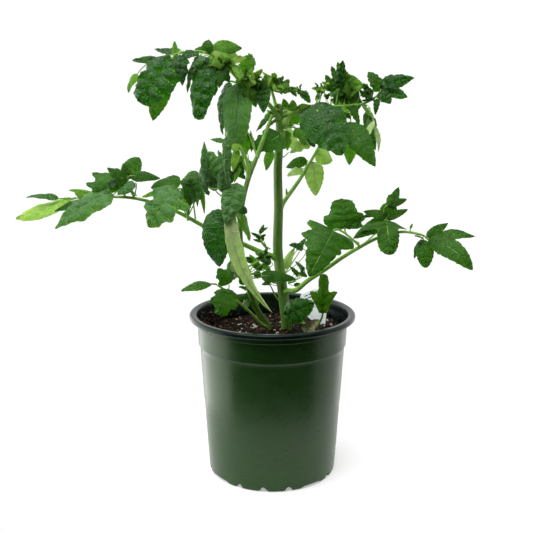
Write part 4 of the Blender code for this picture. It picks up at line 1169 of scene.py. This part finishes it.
def makeTag():
    # plate with rounded head and narrowed foot, in the plane that the frame's tag lies in
    places, _ = weldedPoints("plant_tag")
    middle = places.mean(0)
    _, _, axes = np.linalg.svd(places - middle)
    tall, across = axes[0], axes[1]
    tall = -tall if tall[2] < 0 else tall
    across = -across if across[0] < 0 else across
    out = np.cross(across, tall)

    def place(x, z, depth):
        return middle + across * x + tall * z + out * depth

    high = (places - middle) @ tall
    half = np.abs((places - middle) @ across).max()
    top, bottom = high.max(), high.min() - 0.006
    corner = tagLook["corner"]
    outline = [(-0.0022, bottom), (0.0022, bottom), (half, high.min() + 0.010)]
    outline += arcPoints((half - corner, top - corner), corner, 0, 90, 8)
    outline += arcPoints((corner - half, top - corner), corner, 90, 180, 8) + [(-half, high.min() + 0.010)]
    count = len(outline)
    points = []
    for inset, depth in ((0.0003, 0.5), (0.0, 0.3), (0.0, -0.3), (0.0003, -0.5)):
        for x, z in outline:
            shrink = 1 - inset / half
            points.append(place(x * shrink, z * shrink, depth * tagLook["thickness"]))
    faces = [tuple(range(count)), tuple(3 * count + i for i in reversed(range(count)))]
    faces = [tuple(reversed(face)) for face in faces + bandFaces(0, count, 3, outward=False)]
    skin = Skin("tag_plastic", 0.42, 0.5)
    stain = skin.cloud(140, 4)
    colour = skin.mix(skin.remap(stain, 0.55, 0.8), shade(tagLook["white"]), shade(tagLook["white"], 0.8))
    # painted light: the plate glows faintly so that it reads as lit white in the dim front of the room
    skin.set(("Emission Color", (0.85, 0.93, 1.0, 1)), ("Emission Strength", tagLook["glow"]))
    skin.finish(colour, skin.remap(stain, 0.3, 0.7, 0.36, 0.5), skin.bump(skin.cloud(900, 2), 0.00008, 0.5))
    makePiece("white_tag", points, faces, [skin.material], ("plant_tag",), "tag_white", sharpAngle=50)
    makeMarks(place, half, top, -1 if out[1] >= 0 else 1)


def makeMarks(place, half, top, front):
    # rows of plain blocks of uneven width, on the face of the tag that looks forward
    ink = Skin("tag_marks", 0.6, 0.3)
    ink.finish(ink.mix(ink.cloud(300, 3), shade(tagLook["ink"]), shade(tagLook["ink"], 2.4)),
               ink.remap(ink.cloud(700, 2), 0.3, 0.7, 0.5, 0.7), ink.bump(ink.cloud(900, 2), 0.00005, 0.5))
    points = []
    faces = []
    thick = tagLook["thickness"]
    draw = random.Random(5)
    for drop, height, widest in tagLook["rows"]:
        x = -half * 0.55
        while x < half * 0.6:
            width = draw.uniform(0.35, 1.0) * widest
            z = top - drop
            first = len(points)
            for depth in (thick * 0.45, thick * 0.5 + 0.00010):
                for px, pz in ((x, z - height), (x + width, z - height), (x + width, z), (x, z)):
                    points.append(place(px, pz, front * depth))
            block = [(first + 4, first + 5, first + 6, first + 7), (first + 3, first + 2, first + 1, first)]
            block += bandFaces(first, 4, 1)
            faces += block if front > 0 else [tuple(reversed(corners)) for corners in block]
            x += width + draw.uniform(*tagLook["gap"])
    makePiece("tag_marks", points, faces, [ink.material], (), "tag_white")


def makeDryLeaf():
    skin = Skin("dry_leaf_skin", 0.8, 0.2)
    patches = skin.cloud(420, 5, rough=0.7)
    colour = skin.mix(skin.remap(patches, 0.35, 0.7), (0.18, 0.20, 0.09, 1), (0.56, 0.56, 0.36, 1))
    skin.finish(colour, skin.remap(patches, 0.3, 0.7, 0.68, 0.9), skin.bump(patches, 0.0006, 0.9))
    leafMaterials["dry"] = skin.material
    style = leaf("lobed", "dry", 1.25, camber=0.75, wave=0.28, stations=40, quilt=0.06)
    growLeaf("dry_leaf", style, "shed_leaf")


makeTag()
makeDryLeaf()
print("tag and dry leaf placed")


studio = {"floorRadius": 0.20, "floorSides": 96, "floorColour": (0.80, 0.80, 0.80), "floorGlow": 0.38,
          "cameraPlace": (-0.0058, -0.783, 0.377), "cameraPitch": 12.14, "lens": 54.85, "roomFront": 0.015,
          "roomLeft": 0.90, "roomRight": 0.50, "roomBack": 1.05, "roomTop": 1.0, "roomBelow": 0.12}

# area lights: place, what they face, width, height and brightness
panels = {"left_board": ((-0.55, 0.22, 0.06), (0, 0.10, 0.06), 1.0, 0.80, 1.9),
          "right_board": ((0.55, 0.22, 0.06), (0, 0.10, 0.06), 1.0, 0.80, 0.55),
          "key_panel": ((-0.35, -0.45, 1.45), (0, 0, 0.2), 1.0, 1.0, 4.2)}


def makeFloor():
    sides, radius = studio["floorSides"], studio["floorRadius"]
    turns = [2 * math.pi * k / sides for k in range(sides)]
    mesh = bpy.data.meshes.new("studio_floor")
    corners = [(radius * math.cos(a), radius * math.sin(a), 0) for a in turns]
    mesh.from_pydata(corners, [], [tuple(range(sides))])
    floor = bpy.data.objects.new("studio_floor", mesh)
    floor.location.z = potLow.z - 0.0003
    bpy.context.scene.collection.objects.link(floor)
    skin = Skin("floor_paper", 0.9, 0.1)
    skin.set(("Base Color", shade(studio["floorColour"])), ("Emission Color", (1, 1, 1, 1)),
             ("Emission Strength", studio["floorGlow"]))
    mesh.materials.append(skin.material)


def addPanel(name, place, aim, width, height, radiance):
    light = bpy.data.lights.new(name, "AREA")
    light.shape = "RECTANGLE"
    light.size = width
    light.size_y = height
    light.energy = radiance * width * height * math.pi
    lamp = bpy.data.objects.new(name, light)
    lamp.location = place
    lamp.rotation_euler = (Vector(aim) - Vector(place)).to_track_quat("-Z", "Y").to_euler()
    lamp.visible_camera = False
    bpy.context.scene.collection.objects.link(lamp)


def makeRoom():
    # white behind the plant, bright above and to the left, dim where the camera stands
    world = bpy.data.worlds.new("studio_white")
    world.use_nodes = True
    room = NodeKit(world.node_tree)
    parts = room.node("ShaderNodeSeparateXYZ")
    room.feed(parts.inputs[0], room.node("ShaderNodeTexCoord").outputs["Generated"])
    side = room.remap(parts.outputs[0], -0.6, 0.6, studio["roomLeft"], studio["roomRight"])
    depth = room.remap(parts.outputs[1], -0.50, 0.30, studio["roomFront"], 1.0)
    level = room.math("MULTIPLY", side, depth)
    back = room.remap(parts.outputs[1], 0.2, 0.8, 0.0, studio["roomBack"])
    level = room.math("MAXIMUM", level, back)
    top = room.remap(parts.outputs[2], 0.35, 0.9, 0.0, studio["roomTop"])
    level = room.math("MAXIMUM", level, top)
    level = room.math("MULTIPLY", level, room.remap(parts.outputs[2], -0.70, -0.40, studio["roomBelow"], 1.0))
    lightPath = room.node("ShaderNodeLightPath").outputs["Is Camera Ray"]
    background = world.node_tree.nodes["Background"]
    room.feed(background.inputs["Strength"], room.math("MAXIMUM", level, lightPath))
    background.inputs["Color"].default_value = (1, 1, 1, 1)
    bpy.context.scene.world = world


def makeStudio():
    makeFloor()
    makeRoom()
    for name, panel in panels.items():
        addPanel(name, *panel)
    camera = bpy.data.cameras.new("front_camera")
    camera.lens = studio["lens"]
    camera.sensor_width = 36
    camera.clip_start = 0.01
    viewer = bpy.data.objects.new("front_camera", camera)
    viewer.location = studio["cameraPlace"]
    viewer.rotation_euler = (math.radians(90 - studio["cameraPitch"]), 0, 0)
    bpy.context.scene.collection.objects.link(viewer)
    bpy.context.scene.camera = viewer
    bpy.context.scene.view_settings.view_transform = "Standard"


makeStudio()
print("studio lit")
